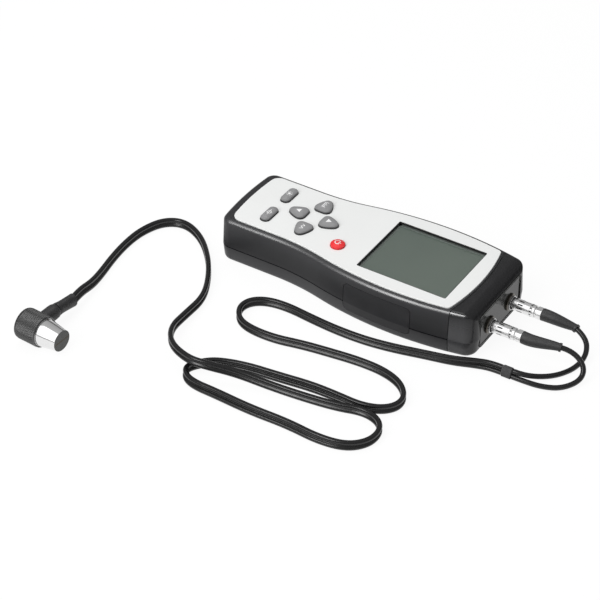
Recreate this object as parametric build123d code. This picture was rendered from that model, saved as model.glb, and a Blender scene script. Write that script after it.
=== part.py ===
from build123d import *
import math
import os

# Hand-held ultrasonic thickness gauge with a two-lead contact probe, lying on its back.
# X runs across the display, Y from the keypad end to the socket end and Z up out of the face.
# The origin is the middle of the back. All lengths are in millimetres.

# Plan of the gauge
waist_half = 21.2
hollow_y = -42.4
hollow_radius = 122.8
swell_half = 29.2
swell_y = 28.0
panel_low_y = -71.4
panel_low_bow = 143.0
panel_high_y = 62.6
panel_high_bow = 112.0
panel_low_corner = 5.0
panel_high_corner = 2.2
case_border = 2.7
case_low_y = -76.3
case_low_bow = 167.0
case_high_y = 73.3
case_low_corner = 5.5
case_high_corner = 6.5

# Heights of the gauge
gauge_height = 26.5
panel_proud = 0.6
panel_thickness = 1.2
seam_z = 9.7
seam_swell = 0.8
rear_draft = 5.0
shoulder_radius = 2.4
foot_radius = 3.4
wall = 2.0
rear_floor = 2.4
top_wall = 2.0
lip_height = 1.6
part_gap = 0.15
reveal_gap = 0.25

# End cap and its socket plate
cap_side_y = 61.0
cap_crown_y = 63.7
cap_crown_half = 26.0
cap_end_wall = 3.0
cap_round_length = 6.8
cap_round_drop = 3.7
cap_tongue_length = 2.8
cap_tongue_thickness = 1.2
plate_half = 20.4
plate_low_z = 3.5
plate_high_z = 22.0
plate_corner = 1.6
plate_sink = 1.0
plate_thickness = 1.3

# Side grips let into the flanks
grip_low_y = 2.5
grip_high_y = 40.9
grip_low_z = 5.2
grip_high_z = 20.9
grip_corner = 2.6
grip_depth = 1.0

# Display
window_width = 42.9
window_length = 50.3
window_y = 29.25
window_corner = 0.8
lens_margin = 1.6
lens_thickness = 0.7
glass_margin = 0.6
glass_thickness = 2.2
backlight_thickness = 1.8
frame_wall = 1.6
frame_ledge = 1.5
frame_ledge_thickness = 0.5

# Keys
key_proud = 2.1
key_travel = 0.8
key_gap = 0.25
key_edge_radius = 0.8
key_flange = 0.8
key_flange_thickness = 0.9
pad_centre_y = -33.9
pill_width = 12.0
pill_height = 5.3
pill_corner = 2.4
pill_x = 9.45
pill_y = -54.7
arrow_base = 9.8
arrow_height = 9.2
arrow_bulge = 1.2
arrow_base_corner = 2.7
arrow_tip_corner = 2.7
arrow_reach_y = 9.3
arrow_reach_x = 11.0
power_x = 12.6
power_y = -12.0
power_radius = 3.7
power_dome = 1.1

# Board, its parts, and the keypad mat
board_thickness = 1.6
board_margin = 1.0
board_low_y = -4.0
board_high_y = 57.0
processor_x = -8.0
processor_y = 20.0
processor_side = 12.0
processor_height = 1.4
amplifier_x = 9.0
amplifier_y = 22.0
amplifier_width = 7.0
amplifier_length = 9.0
amplifier_height = 1.2
coil_y = 44.0
coil_radius = 5.5
coil_height = 6.0
coil_flange = 1.2
coil_groove = 0.8
mat_half = 19.0
mat_low_y = -60.6
mat_high_y = -5.5
mat_collar = 0.7
mat_collar_height = 1.0
film_thickness = 0.2

# Cells, bay and door
cell_radius = 7.25
cell_length = 50.5
cell_nub_radius = 2.7
cell_nub_length = 1.2
cell_y = -38.2
cell_clearance = 0.2
contact_depth = 2.6
contact_thickness = 0.4
spring_radius = 3.4
spring_wire = 0.35
spring_turns = 2.5
bay_wall = 1.1
bay_roof = 0.9
bay_partition = 0.8
bay_rim = 1.2
door_overlap = 1.4
door_step = 1.25
door_end_gap = 1.5
door_tongue_half = 6.0
door_tongue_length = 3.0
door_travel = 10.0
door_tab_first_y = -60.0
door_tab_pitch = 22.0
door_tab_count = 3
door_tab_length = 7.0
thumb_groove_radius = 0.5
thumb_groove_pitch = 2.2
thumb_groove_count = 5
thumb_groove_half = 7.0

# Screws and bosses
screw_low_inset = 1.8
screw_low_y = -63.0
screw_high_inset = 3.3
screw_high_y = 52.0
screw_radius = 1.0
screw_head_radius = 1.75
screw_head_height = 1.1
screw_head_sink = 0.4
boss_radius = 1.9
hex_key = 1.0

# Sockets and plugs
socket_x = 10.4
socket_z = 11.3
socket_barrel_radius = 3.1
socket_ring_radius = 3.75
socket_ring_length = 0.9
socket_bore_radius = 2.55
socket_depth = 13.0
socket_bore_depth = 8.5
washer_radius = 4.6
washer_thickness = 1.0
nut_across_flats = 8.6
nut_thickness = 2.2
nut_seat_radius = 5.3
plug_fit = 0.05
plug_nose_radius = 2.5
plug_core_radius = 2.6
plug_radius = 3.2
sleeve_front_gap = 1.0
sleeve_length = 11.8
sleeve_travel = 0.8
sleeve_fit = 0.06
sleeve_slots = 12
sleeve_slot_width = 0.5
sleeve_slot_depth = 0.3
sleeve_slot_length = 4.6
back_nut_gap = 0.9
back_nut_length = 2.8
boot_grip_length = 5.5
boot_tip_radius = 2.0
boot_collar_radius = 2.25
boot_collar_length = 1.0
lead_radius = 1.35

# Splitter between the two leads and the twin cable
splitter_x = 28.7
splitter_y = 93.8
splitter_z = 3.2
splitter_length = 6.0
splitter_width = 6.4
splitter_height = 3.6
splitter_corner = 1.3
splitter_lean = 58.0

# Probe, with its axis level and its flat face towards the reader
probe_face_x = 128.8
probe_face_y = -97.5
probe_turn = 85.9
knurl_radius = 8.24
knurl_length = 13.3
knurl_edge = 0.8
knurl_wall = 0.9
knurl_lip_depth = 1.0
cone_length = 11.0
cone_base_radius = 7.45
cone_tip_radius = 5.65
cone_bore_radius = 5.3
stem_length = 10.5
face_gap = 0.05
delay_length = 8.0
barrier_thickness = 0.5
crystal_thickness = 0.8
crystal_radius = 4.9
backing_length = 7.0
boot_back = 18.2
boot_radius = 3.95
boot_reach = 17.2
boot_edge = 1.0
wrap_width = 4.9
wrap_height = 6.6
wrap_start_width = 6.2

# Levels that follow from the sizes above
rim_z = gauge_height - panel_proud
panel_seat_z = gauge_height - panel_thickness
ceiling_z = panel_seat_z - top_wall
lens_seat_z = panel_seat_z - lens_thickness
glass_top_z = lens_seat_z - part_gap / 2
backlight_top_z = glass_top_z - glass_thickness
backlight_low_z = backlight_top_z - backlight_thickness
board_top_z = backlight_low_z - frame_ledge_thickness - part_gap
board_low_z = board_top_z - board_thickness
bay_half = 2 * cell_radius + bay_partition / 2 + cell_clearance
bay_low_y = cell_y - cell_length / 2 - contact_depth
bay_high_y = cell_y + cell_length / 2 + contact_depth
cell_z = rear_floor + cell_clearance / 2 + cell_radius
bay_top_z = cell_z + cell_radius + cell_clearance
shelf_z = bay_top_z + bay_roof
film_top_z = shelf_z + film_thickness
door_high_y = bay_high_y + bay_wall + door_end_gap
key_flange_top_z = ceiling_z - part_gap / 2
key_flange_low_z = key_flange_top_z - key_flange_thickness
mat_top_z = key_flange_low_z - key_travel - part_gap
washer_y = case_high_y - plate_sink + plate_thickness
ring_y = washer_y + washer_thickness
plug_front_y = ring_y + socket_ring_length
sleeve_start_y = plug_front_y + sleeve_front_gap
back_nut_y = sleeve_start_y + sleeve_length + back_nut_gap
boot_y = back_nut_y + back_nut_length

# Routes of the leads from the splitter to the plugs
near_lead_route = [
    (29.4, 96.8, 2.1), (29.4, 102.0, 2.1), (27.9, 111.6, 1.4), (23.7, 120.7, 1.4),
    (14.5, 126.1, 2.2), (9.8, 125.4, 7.4), (7.3, 117.4, 11.6), (8.5, 111.8, 12.1),
]
far_lead_route = [
    (28.0, 96.8, 4.4), (28.0, 102.2, 4.4), (22.2, 109.2, 2.3), (15.3, 115.1, 1.4),
    (5.9, 119.5, 1.4), (-2.9, 120.4, 3.8), (-8.9, 116.7, 8.2), (-10.7, 110.5, 9.8),
]

# Middle line of the twin cable, which stands on edge, from the probe to where it starts to lean
twin_route = [
    (98.5, -113.5, 6.6), (91.5, -114.5, 6.6), (81.0, -115.0, 4.4), (69.5, -117.5, 2.8),
    (57.0, -120.0, 2.8), (43.5, -121.5, 2.8), (30.0, -121.0, 2.8), (17.0, -116.0, 2.8),
    (12.0, -105.5, 2.8), (18.0, -91.5, 2.8), (30.5, -78.5, 2.8), (45.0, -68.5, 2.8),
    (59.5, -62.0, 2.9), (75.5, -61.5, 3.9), (90.5, -60.0, 5.9), (102.5, -51.5, 8.0),
    (108.0, -37.5, 8.7), (106.5, -28.0, 8.3), (101.0, -15.0, 5.7), (98.0, 2.5, 3.3),
    (96.0, 19.5, 2.8), (93.5, 37.0, 2.8), (89.5, 49.5, 2.8), (91.5, 59.0, 2.8),
    (97.5, 64.0, 2.8), (107.0, 63.5, 2.8), (115.0, 56.0, 2.8), (117.5, 42.0, 2.8),
    (116.0, 24.0, 2.8), (117.0, 4.0, 2.8), (116.0, -16.5, 2.8), (116.0, -28.5, 2.8),
    (113.5, -35.5, 2.8), (108.0, -39.0, 2.8), (101.0, -34.5, 2.8), (96.0, -28.0, 2.8),
    (92.0, -14.5, 2.8), (90.0, 2.5, 2.8), (87.5, 19.5, 2.8), (87.2, 34.0, 2.8),
    (87.5, 47.0, 2.8), (84.0, 57.0, 2.8), (77.5, 62.0, 2.8), (70.0, 61.0, 2.8),
    (63.0, 54.0, 2.8), (59.5, 42.5, 2.8), (59.5, 28.5, 2.8), (61.5, 13.0, 2.8),
    (63.5, -0.5, 2.8), (67.0, -15.0, 2.8), (67.0, -29.0, 2.8), (64.0, -37.5, 2.8),
    (56.5, -42.5, 2.8), (49.0, -41.0, 2.8), (44.0, -34.0, 2.8), (42.5, -22.5, 2.8),
    (44.0, -8.0, 2.8), (45.0, 7.5, 2.8), (44.5, 23.5, 2.8), (42.0, 38.5, 2.8),
    (38.0, 54.0, 2.8), (35.0, 67.0, 2.8), (30.8, 77.0, 2.8),
]
splitter_route = [(28.7, 84.8, 3.2), (28.7, 90.8, 3.2)]


# Plan outlines

def arc_about(centre, start, end):
    """The shorter arc round centre from start to end."""
    away = ((start - centre) + (end - centre)).normalized()
    return ThreePointArc(start, centre + away * (start - centre).length, end)


def bow_drop(bow, half):
    """How far an arched end of radius bow falls back at half width; 0 means a straight end."""
    return bow - math.sqrt(bow ** 2 - half ** 2) if bow else 0.0


def end_line(middle_y, drop, half):
    """One end of the plan, arched where drop is not 0."""
    if drop:
        ThreePointArc((-half, middle_y + drop), (0, middle_y), (half, middle_y + drop))
    else:
        Line((-half, middle_y), (half, middle_y))


def plan(grow, low_y, low_bow, high_y, high_bow, low_corner, high_corner):
    """The waisted plan: straight, hollow, then swelling flanks, cut off by two ends."""
    rise = swell_y - hollow_y
    step = swell_half - waist_half
    swell_radius = (step ** 2 + rise ** 2) / (2 * step) - hollow_radius
    hollow_centre = Vector(waist_half + hollow_radius, hollow_y)
    swell_centre = Vector(swell_half - swell_radius, swell_y)
    waist = Vector(waist_half + grow, hollow_y)
    join = hollow_centre + (swell_centre - hollow_centre).normalized() * (hollow_radius - grow)
    reach = case_high_y + case_high_corner * 3
    beyond = swell_centre.X + math.sqrt((swell_radius + grow) ** 2 - (reach - swell_y) ** 2)
    far = Vector(beyond, reach)
    half = 2 * swell_half
    with BuildSketch() as outline:
        with BuildLine():
            Line((0, -reach), (waist.X, -reach))
            Line((waist.X, -reach), waist)
            arc_about(hollow_centre, waist, join)
            arc_about(swell_centre, join, far)
            Line(far, (0, reach))
            mirror(about=Plane.YZ)
        make_face()
        with BuildLine():
            low_drop = bow_drop(low_bow, half)
            high_drop = -bow_drop(high_bow, half)
            end_line(low_y, low_drop, half)
            end_line(high_y, high_drop, half)
            Line((-half, low_y + low_drop), (-half, high_y + high_drop))
            Line((half, low_y + low_drop), (half, high_y + high_drop))
        make_face(mode=Mode.INTERSECT)
        fillet(outline.vertices().sort_by(Axis.Y)[:2], low_corner)
        fillet(outline.vertices().sort_by(Axis.Y)[-2:], high_corner)
    return outline.sketch


def case_plan(inset):
    """Outline of the case under its rim, drawn in by inset."""
    return plan(case_border - inset, case_low_y + inset, case_low_bow, case_high_y - inset, 0,
                case_low_corner - inset, case_high_corner - inset)


def panel_plan(gap):
    """Outline of the face panel, let out by gap."""
    return plan(gap, panel_low_y - gap, panel_low_bow, panel_high_y + gap, panel_high_bow,
                panel_low_corner, panel_high_corner)


def slab(face, low_z, high_z):
    """A plan outline made solid between two levels."""
    return extrude(Plane.XY.offset(low_z) * face, high_z - low_z)


def block(low_x, high_x, low_y, high_y, low_z, high_z):
    """A rectangular block given by its limits."""
    size = (high_x - low_x, high_y - low_y, high_z - low_z)
    return Pos(low_x, low_y, low_z) * Box(*size, align=Align.MIN)


def rod_y(radius, low_y, high_y, x=socket_x, z=socket_z):
    """A round rod along Y."""
    turned = Plane(origin=(x, low_y, z), x_dir=(1, 0, 0), z_dir=(0, 1, 0))
    return turned * Cylinder(radius, high_y - low_y, align=(Align.CENTER, Align.CENTER, Align.MIN))


def post(x, y, radius, low_z, high_z):
    """A round post along Z."""
    upright = (Align.CENTER, Align.CENTER, Align.MIN)
    return Pos(x, y, low_z) * Cylinder(radius, high_z - low_z, align=upright)


# Housing

def housing_blank(inset=0.0):
    """Outside of the two case halves and the end cap as one closed form, drawn in by inset."""
    seam_plan = Plane.XY.offset(seam_z) * case_plan(inset - seam_swell)
    front_draft = math.degrees(math.atan(seam_swell / (rim_z - seam_z)))
    upper = extrude(seam_plan, rim_z - inset - seam_z, taper=front_draft)
    upper = fillet(upper.edges().group_by(Axis.Z)[-1], shoulder_radius)
    lower = extrude(seam_plan, inset - seam_z, taper=rear_draft)
    lower = fillet(lower.edges().group_by(Axis.Z)[0], foot_radius)
    round_radius = (cap_round_length ** 2 + cap_round_drop ** 2) / (2 * cap_round_drop)
    end_y = case_high_y - inset
    with BuildSketch(Plane.YZ) as over_round:
        with Locations((end_y - cap_round_length, rim_z - inset - round_radius)):
            Circle(round_radius)
            Rectangle(2 * cap_round_length, 3 * round_radius, align=Align.MIN)
            Circle(round_radius, mode=Mode.SUBTRACT)
    return upper + lower - extrude(over_round.sketch, 2 * swell_half, both=True)


def cap_region(gap):
    """Everything beyond the joint between the case and the end cap, moved on by gap."""
    reach = 2 * case_high_y
    side = 2 * swell_half
    with BuildSketch() as beyond:
        with BuildLine():
            Line((-side, cap_side_y + gap), (-cap_crown_half, cap_side_y + gap))
            ThreePointArc((-cap_crown_half, cap_side_y + gap), (0, cap_crown_y + gap),
                          (cap_crown_half, cap_side_y + gap))
            Line((cap_crown_half, cap_side_y + gap), (side, cap_side_y + gap))
            Polyline((side, cap_side_y + gap), (side, reach), (-side, reach), (-side, cap_side_y + gap))
        make_face()
    return slab(beyond.sketch, -gauge_height, 2 * gauge_height)


def case_cavity():
    """Room inside the case, up to the end wall of the cap."""
    inner = plan(case_border - wall, case_low_y + wall, case_low_bow, case_high_y - cap_end_wall, 0,
                 case_low_corner - wall, case_high_corner - wall)
    upper = slab(inner, seam_z, ceiling_z)
    lower = extrude(Plane.XY.offset(seam_z) * inner, rear_floor - seam_z, taper=rear_draft)
    return upper + lower


def screw_places():
    """Where the four case screws stand."""
    low_x = waist_half - screw_low_inset
    high_x = swell_half - screw_high_inset
    return [(side * x, y) for x, y in ((low_x, screw_low_y), (high_x, screw_high_y))
            for side in (-1, 1)]


def grip_prism(side, gap):
    """A rounded block through one flank, as long and high as the grip let out by gap."""
    length = grip_high_y - grip_low_y + 2 * gap
    height = grip_high_z - grip_low_z + 2 * gap
    middle = ((grip_low_y + grip_high_y) / 2, (grip_low_z + grip_high_z) / 2)
    with BuildSketch(Plane.YZ) as shape:
        with Locations(middle):
            RectangleRounded(length, height, grip_corner + gap)
    return extrude(shape.sketch, side * 2 * swell_half)


def side_grip(side):
    """A grip pad let flush into one flank."""
    return (housing_blank() & grip_prism(side, 0)) - housing_blank(grip_depth)


def grip_pocket(side):
    """The recess that holds a grip pad."""
    return grip_prism(side, reveal_gap) - housing_blank(grip_depth + part_gap)


def window_block(margin, low_z, high_z):
    """A block over the display window, let out by margin."""
    width = window_width / 2 + margin
    length = window_length / 2 + margin
    return block(-width, width, window_y - length, window_y + length, low_z, high_z)


def front_case():
    """Upper shell: rounded rim, panel seat, display opening, key holes and screw bosses."""
    above_seam = slab(case_plan(-2 * seam_swell), seam_z + part_gap, gauge_height)
    shell = (housing_blank() & above_seam) - case_cavity() - cap_region(-part_gap)
    shell -= slab(panel_plan(reveal_gap), panel_seat_z, gauge_height)
    shell -= window_block(lens_margin + part_gap, lens_seat_z, gauge_height)
    shell -= window_block(glass_margin + part_gap, ceiling_z - wall, gauge_height)
    for name in KEYS:
        shell -= slab(key_outline(name, key_gap), ceiling_z - wall, gauge_height)
    shell -= slab(case_plan(wall / 2), seam_z, seam_z + lip_height + part_gap)
    for x, y in screw_places():
        shell += post(x, y, boss_radius, board_top_z, ceiling_z)
        shell -= post(x, y, screw_radius, board_top_z, ceiling_z - part_gap)
    for side in (-1, 1):
        shell -= grip_pocket(side)
    return shell


def door_plate(gap):
    """Straight slot of the battery door with the pocket for its tongue, drawn in by gap."""
    low_y = 2 * case_low_y
    plate = block(gap - bay_half, bay_half - gap, low_y, door_high_y - gap, -wall, rear_floor - gap)
    tongue_y = door_high_y + door_tongue_length - gap
    tongue = block(gap - door_tongue_half, door_tongue_half - gap, low_y, tongue_y,
                   door_step + gap, rear_floor - gap)
    return plate + tongue


def door_tabs(gap, way, low_z, high_z):
    """Blocks across the door at its tabs, drawn in by gap and moved along the door by way."""
    half = bay_half + door_overlap - gap
    blocks = Part()
    for number in range(door_tab_count):
        middle = door_tab_first_y + number * door_tab_pitch + way
        reach = door_tab_length / 2 - gap
        blocks += block(-half, half, middle - reach, middle + reach, low_z, high_z)
    return blocks


def door_slot():
    """Room for the door in the floor: its slot, a channel for its tabs and notches to lift them out."""
    half = bay_half + door_overlap
    low_y = door_tab_first_y - door_tab_length / 2 - door_travel - part_gap
    high_y = door_tab_first_y + (door_tab_count - 1) * door_tab_pitch + door_tab_length / 2
    channel = block(-half, half, low_y, high_y, door_step, rear_floor)
    notches = door_tabs(-part_gap, -door_travel, -wall, door_step)
    return door_plate(0) + channel + notches


def battery_bay():
    """Walls round the two cells, a rib between them, and a roof that is the shelf of the keypad."""
    outer = block(-bay_half - bay_wall, bay_half + bay_wall, bay_low_y - bay_wall,
                  bay_high_y + bay_wall, rear_floor / 2, shelf_z)
    inner = block(-bay_half, bay_half, bay_low_y, bay_high_y, 0, bay_top_z)
    rib_half = bay_partition / 2
    rib = block(-rib_half, rib_half, bay_low_y, bay_high_y, cell_z, bay_top_z + bay_roof / 2)
    shelf = block(-mat_half, mat_half, mat_low_y, mat_high_y, bay_top_z, shelf_z)
    return outer + shelf + slide_cover() - inner + rib


def slide_cover():
    """Ledge over the slot of the door that ties the bay to the floor round it."""
    half = bay_half + door_overlap + wall
    high_y = door_high_y + door_tongue_length + wall
    low_y = case_low_y + wall / 2
    return block(-half, half, low_y, high_y, rear_floor - part_gap, rear_floor + bay_rim)


def rear_case():
    """Lower shell: battery bay, door slot, lip under the front case and screw posts."""
    below_seam = slab(case_plan(-2 * seam_swell), -1, seam_z)
    shell = (housing_blank() & below_seam) - case_cavity()
    lip = slab(case_plan(wall / 2 + part_gap), seam_z - wall, seam_z + lip_height)
    shell += lip - slab(case_plan(wall), seam_z - 2 * wall, seam_z + 2 * lip_height)
    shell -= cap_region(-part_gap)
    shell -= slab(cap_tongue_zone(part_gap), seam_z, seam_z + 2 * lip_height)
    shell += battery_bay()
    shell -= block(-bay_half, bay_half, bay_low_y, bay_high_y, 0, rear_floor)
    for x, y in screw_places():
        meet_z = board_low_z if y > board_low_y else board_top_z - part_gap
        shell += post(x, y, boss_radius, rear_floor / 2, meet_z)
        shell -= post(x, y, screw_radius + part_gap, -1, meet_z)
        shell -= post(x, y, screw_head_radius + part_gap, -1, screw_head_sink + screw_head_height)
    shell -= door_slot()
    for side in (-1, 1):
        shell -= grip_pocket(side)
    return shell


def cap_tongue_zone(gap):
    """Plan strip in which the tongues of the end cap reach into the case."""
    side = 2 * swell_half
    low_y = cap_side_y - cap_tongue_length - gap
    with BuildSketch() as strip:
        with Locations((0, low_y)):
            Rectangle(2 * side, 2 * cap_tongue_length, align=(Align.CENTER, Align.MIN))
    return strip.sketch


def end_cap():
    """Glossy cap that closes the socket end, with two tongues that plug into the case."""
    cap = (housing_blank() & cap_region(part_gap)) - case_cavity()
    outer = case_plan(wall + part_gap)
    inner = case_plan(wall + part_gap + cap_tongue_thickness)
    tongues = slab((outer - inner) & cap_tongue_zone(0), seam_z - wall, ceiling_z - part_gap)
    root = slab((case_plan(wall / 2) - inner) & cap_root_zone(), seam_z - wall, ceiling_z - part_gap)
    cap += tongues + root
    cap -= plate_block(reveal_gap, 2 * plate_thickness)
    for side in (-1, 1):
        cap -= rod_y(socket_barrel_radius + part_gap, cap_side_y, 2 * case_high_y, side * socket_x)
        cap -= rod_y(nut_seat_radius, cap_side_y, case_high_y - cap_end_wall, side * socket_x)
    return cap


def cap_root_zone():
    """Plan strip just inside the cap where its tongues join its walls."""
    side = 2 * swell_half
    with BuildSketch() as strip:
        with Locations((0, cap_side_y + 2 * part_gap)):
            Rectangle(2 * side, cap_tongue_length, align=(Align.CENTER, Align.MIN))
    return strip.sketch


def plate_block(gap, thickness):
    """Rounded block that starts at the seat of the socket plate, let out by gap."""
    height = plate_high_z - plate_low_z + 2 * gap
    middle_z = (plate_high_z + plate_low_z) / 2
    seat = Plane(origin=(0, case_high_y - plate_sink, middle_z), x_dir=(1, 0, 0), z_dir=(0, 1, 0))
    with BuildSketch(seat) as shape:
        RectangleRounded(2 * plate_half + 2 * gap, height, plate_corner + gap)
    return extrude(shape.sketch, thickness)


def socket_plate():
    """Plate in the end face that carries both sockets."""
    plate = plate_block(0, plate_thickness)
    plate = chamfer(plate.faces().sort_by(Axis.Y)[-1].edges(), part_gap)
    for side in (-1, 1):
        plate -= rod_y(socket_barrel_radius + part_gap, 0, 2 * case_high_y, side * socket_x)
    return plate


def face_panel():
    """White front panel with its window and key holes."""
    panel = slab(panel_plan(0), panel_seat_z, gauge_height)
    panel = chamfer(panel.edges().group_by(Axis.Z)[-1], part_gap)
    opening = window_block(0, panel_seat_z - 1, gauge_height + 1)
    panel -= fillet(opening.edges().filter_by(Axis.Z), window_corner)
    for name in KEYS:
        panel -= slab(key_outline(name, key_gap), panel_seat_z - 1, gauge_height + 1)
    return panel


# Display and board

def display_window():
    """Clear window under the panel."""
    return window_block(lens_margin, lens_seat_z, panel_seat_z)


def display_glass():
    """Liquid-crystal cell."""
    return window_block(glass_margin, backlight_top_z, glass_top_z)


def backlight():
    """Light guide behind the liquid-crystal cell, with its light strip at one side."""
    guide = window_block(glass_margin, backlight_low_z, backlight_top_z - part_gap / 2)
    high_y = window_y + window_length / 2 + glass_margin
    notch = block(-window_width / 4, window_width / 4, high_y - frame_ledge, high_y + 1,
                  backlight_low_z - 1, backlight_low_z + backlight_thickness / 2)
    return guide - notch


def display_frame():
    """Frame that carries the display on the board and under the ceiling of the case."""
    ledge_z = backlight_low_z - frame_ledge_thickness
    ring = window_block(glass_margin + part_gap + frame_wall, ledge_z, ceiling_z)
    ring -= window_block(glass_margin + part_gap, backlight_low_z, ceiling_z + 1)
    return ring - window_block(glass_margin - frame_ledge, ledge_z - 1, ceiling_z)


def main_board():
    """Circuit board beside the battery bay, held between the upper pair of screw posts."""
    outline = plan(case_border - wall - board_margin, board_low_y, 0, board_high_y, 0,
                   board_margin, board_margin)
    board = slab(outline, board_low_z, board_top_z)
    for x, y in screw_places():
        board -= post(x, y, screw_radius + part_gap, 0, gauge_height)
    return board


def chip(x, y, width, length, height):
    """A flat package under the board."""
    body = block(x - width / 2, x + width / 2, y - length / 2, y + length / 2,
                 board_low_z - height, board_low_z)
    return chamfer(body.edges().group_by(Axis.Z)[0], height / 5)


def pulser_coil():
    """Round pulse transformer under the board."""
    core = post(0, coil_y, coil_radius, board_low_z - coil_height, board_low_z)
    groove = post(0, coil_y, 2 * coil_radius, board_low_z - coil_height + coil_flange,
                  board_low_z - coil_flange)
    groove -= post(0, coil_y, coil_radius - coil_groove, 0, gauge_height)
    return core - groove


def keypad_film():
    """Thin film with the contacts of the keys, on the roof of the battery bay."""
    film = block(-mat_half, mat_half, mat_low_y, mat_high_y, shelf_z, film_top_z)
    return fillet(film.edges().filter_by(Axis.Z), panel_low_corner)


def keypad_mat():
    """Elastic mat on the film with a raised collar round the foot of each key."""
    mat = block(-mat_half, mat_half, mat_low_y, mat_high_y, film_top_z, mat_top_z)
    mat = fillet(mat.edges().filter_by(Axis.Z), panel_low_corner)
    collar_z = mat_top_z + mat_collar_height
    for name in KEYS:
        inner = slab(key_outline(name, key_flange + key_gap), mat_top_z, collar_z)
        outer = slab(key_outline(name, key_flange + key_gap + mat_collar), mat_top_z, collar_z)
        mat += outer - inner
    for name in KEYS:
        mat -= slab(key_outline(name, key_flange + key_gap), mat_top_z, collar_z + 1)
    return mat


# Keys

def rounded_triangle(grow):
    """Key outline that points along +Y: three bulging sides with rounded corners."""
    half = arrow_base / 2
    low = -arrow_height / 2
    tip = low + arrow_height + 2 * arrow_tip_corner / 3
    side_mid = Vector(half / 2, (low + tip) / 2)
    outward = Vector(tip - low, half).normalized() * arrow_bulge
    right = side_mid + outward
    with BuildSketch() as outline:
        with BuildLine():
            ThreePointArc((-half, low), (0, low - arrow_bulge / 3), (half, low))
            ThreePointArc((half, low), right, (0, tip))
            ThreePointArc((0, tip), (-right.X, right.Y), (-half, low))
        make_face()
        fillet(outline.vertices().sort_by(Axis.Y)[:2], arrow_base_corner)
        fillet(outline.vertices().sort_by(Axis.Y)[-1], arrow_tip_corner)
        if grow:
            offset(amount=grow)
    return outline.sketch


KEYS = {
    "key_power": ("round", power_x, power_y, 0),
    "key_up": ("triangle", 0, pad_centre_y + arrow_reach_y, 0),
    "key_down": ("triangle", 0, pad_centre_y - arrow_reach_y, 180),
    "key_units": ("triangle", -arrow_reach_x, pad_centre_y, 90),
    "key_velocity": ("triangle", arrow_reach_x, pad_centre_y, -90),
    "key_backlight": ("pill", -pill_x, pill_y, 0),
    "key_calibrate": ("pill", pill_x, pill_y, 0),
}


def key_outline(name, grow):
    """Outline of one key in its place, let out by grow."""
    kind, x, y, turn = KEYS[name]
    if kind == "triangle":
        return Pos(x, y) * Rot(0, 0, turn) * rounded_triangle(grow)
    with BuildSketch() as outline:
        with Locations((x, y)):
            if kind == "round":
                Circle(power_radius + grow)
            else:
                RectangleRounded(pill_width + 2 * grow, pill_height + 2 * grow, pill_corner + grow)
    return outline.sketch


def key(name):
    """One key cap: a softly edged top on a stem with a flange under the case."""
    kind, x, y, turn = KEYS[name]
    top_z = gauge_height + key_proud
    cap = slab(key_outline(name, 0), key_flange_low_z, top_z)
    if kind == "round":
        dome_radius = (power_radius ** 2 + power_dome ** 2) / (2 * power_dome)
        cap &= Pos(x, y, top_z - dome_radius) * Sphere(dome_radius)
    else:
        cap = fillet(cap.edges().group_by(Axis.Z)[-1], key_edge_radius)
    return cap + slab(key_outline(name, key_flange), key_flange_low_z, key_flange_top_z)


# Cells and door

def cell(side):
    """One cell, with its nub at the keypad end on the left and at the other end on the right."""
    facing = 1 if side > 0 else -1
    seat = Plane(origin=(side * (cell_radius + bay_partition / 2 + cell_clearance / 2), cell_y, cell_z),
                 x_dir=(1, 0, 0), z_dir=(0, facing, 0))
    can = Cylinder(cell_radius, cell_length - cell_nub_length)
    can = fillet(can.edges(), cell_clearance * 2)
    nub_z = cell_length / 2 - cell_nub_length
    nub = Pos(0, 0, nub_z) * Cylinder(cell_nub_radius, cell_nub_length)
    return seat * (Pos(0, 0, -cell_nub_length / 2) * can + Pos(0, 0, cell_nub_length / 2) * nub)


def battery_contacts():
    """Contact plates on the end walls of the bay."""
    plates = []
    for side in (-1, 1):
        middle = side * (bay_half / 2 + bay_partition / 4)
        half = cell_radius - 2 * cell_clearance - contact_thickness
        for wall_y, inward in ((bay_low_y, 1), (bay_high_y, -1)):
            face_y = wall_y + inward * contact_thickness
            low_y, high_y = sorted((wall_y, face_y))
            plates.append(block(middle - half, middle + half, low_y, high_y,
                                cell_z - half, cell_z + half))
    return Part(children=plates)


def battery_springs():
    """Coil springs on the plates that meet the flat ends of the cells."""
    springs = []
    free = contact_depth - contact_thickness - 2 * part_gap
    rise = free - 2 * spring_wire
    for side in (-1, 1):
        x = side * (cell_radius + bay_partition / 2 + cell_clearance / 2)
        wall_y = bay_high_y if side < 0 else bay_low_y
        inward = side
        base_y = wall_y + inward * (contact_thickness + part_gap + spring_wire)
        seat = Plane(origin=(x, base_y, cell_z), x_dir=(1, 0, 0), z_dir=(0, inward, 0))
        path = Helix(rise / spring_turns, rise, spring_radius)
        section = Plane(origin=path @ 0, z_dir=path % 0) * Circle(spring_wire)
        springs.append(seat * sweep(section, path=path))
    return Part(children=springs)


def battery_door():
    """Door that slides towards the keypad end until its tabs are free, with grooves for the thumb."""
    door = door_plate(part_gap) + door_tabs(part_gap, 0, door_step + part_gap, rear_floor - part_gap)
    door &= housing_blank()
    first_y = door_high_y - 4 * thumb_groove_pitch - thumb_groove_count * thumb_groove_pitch
    for number in range(thumb_groove_count):
        y = first_y + number * thumb_groove_pitch
        groove = Plane(origin=(0, y, 0), x_dir=(0, 1, 0), z_dir=(1, 0, 0))
        door -= groove * Cylinder(thumb_groove_radius, 2 * thumb_groove_half)
    return door


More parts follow.
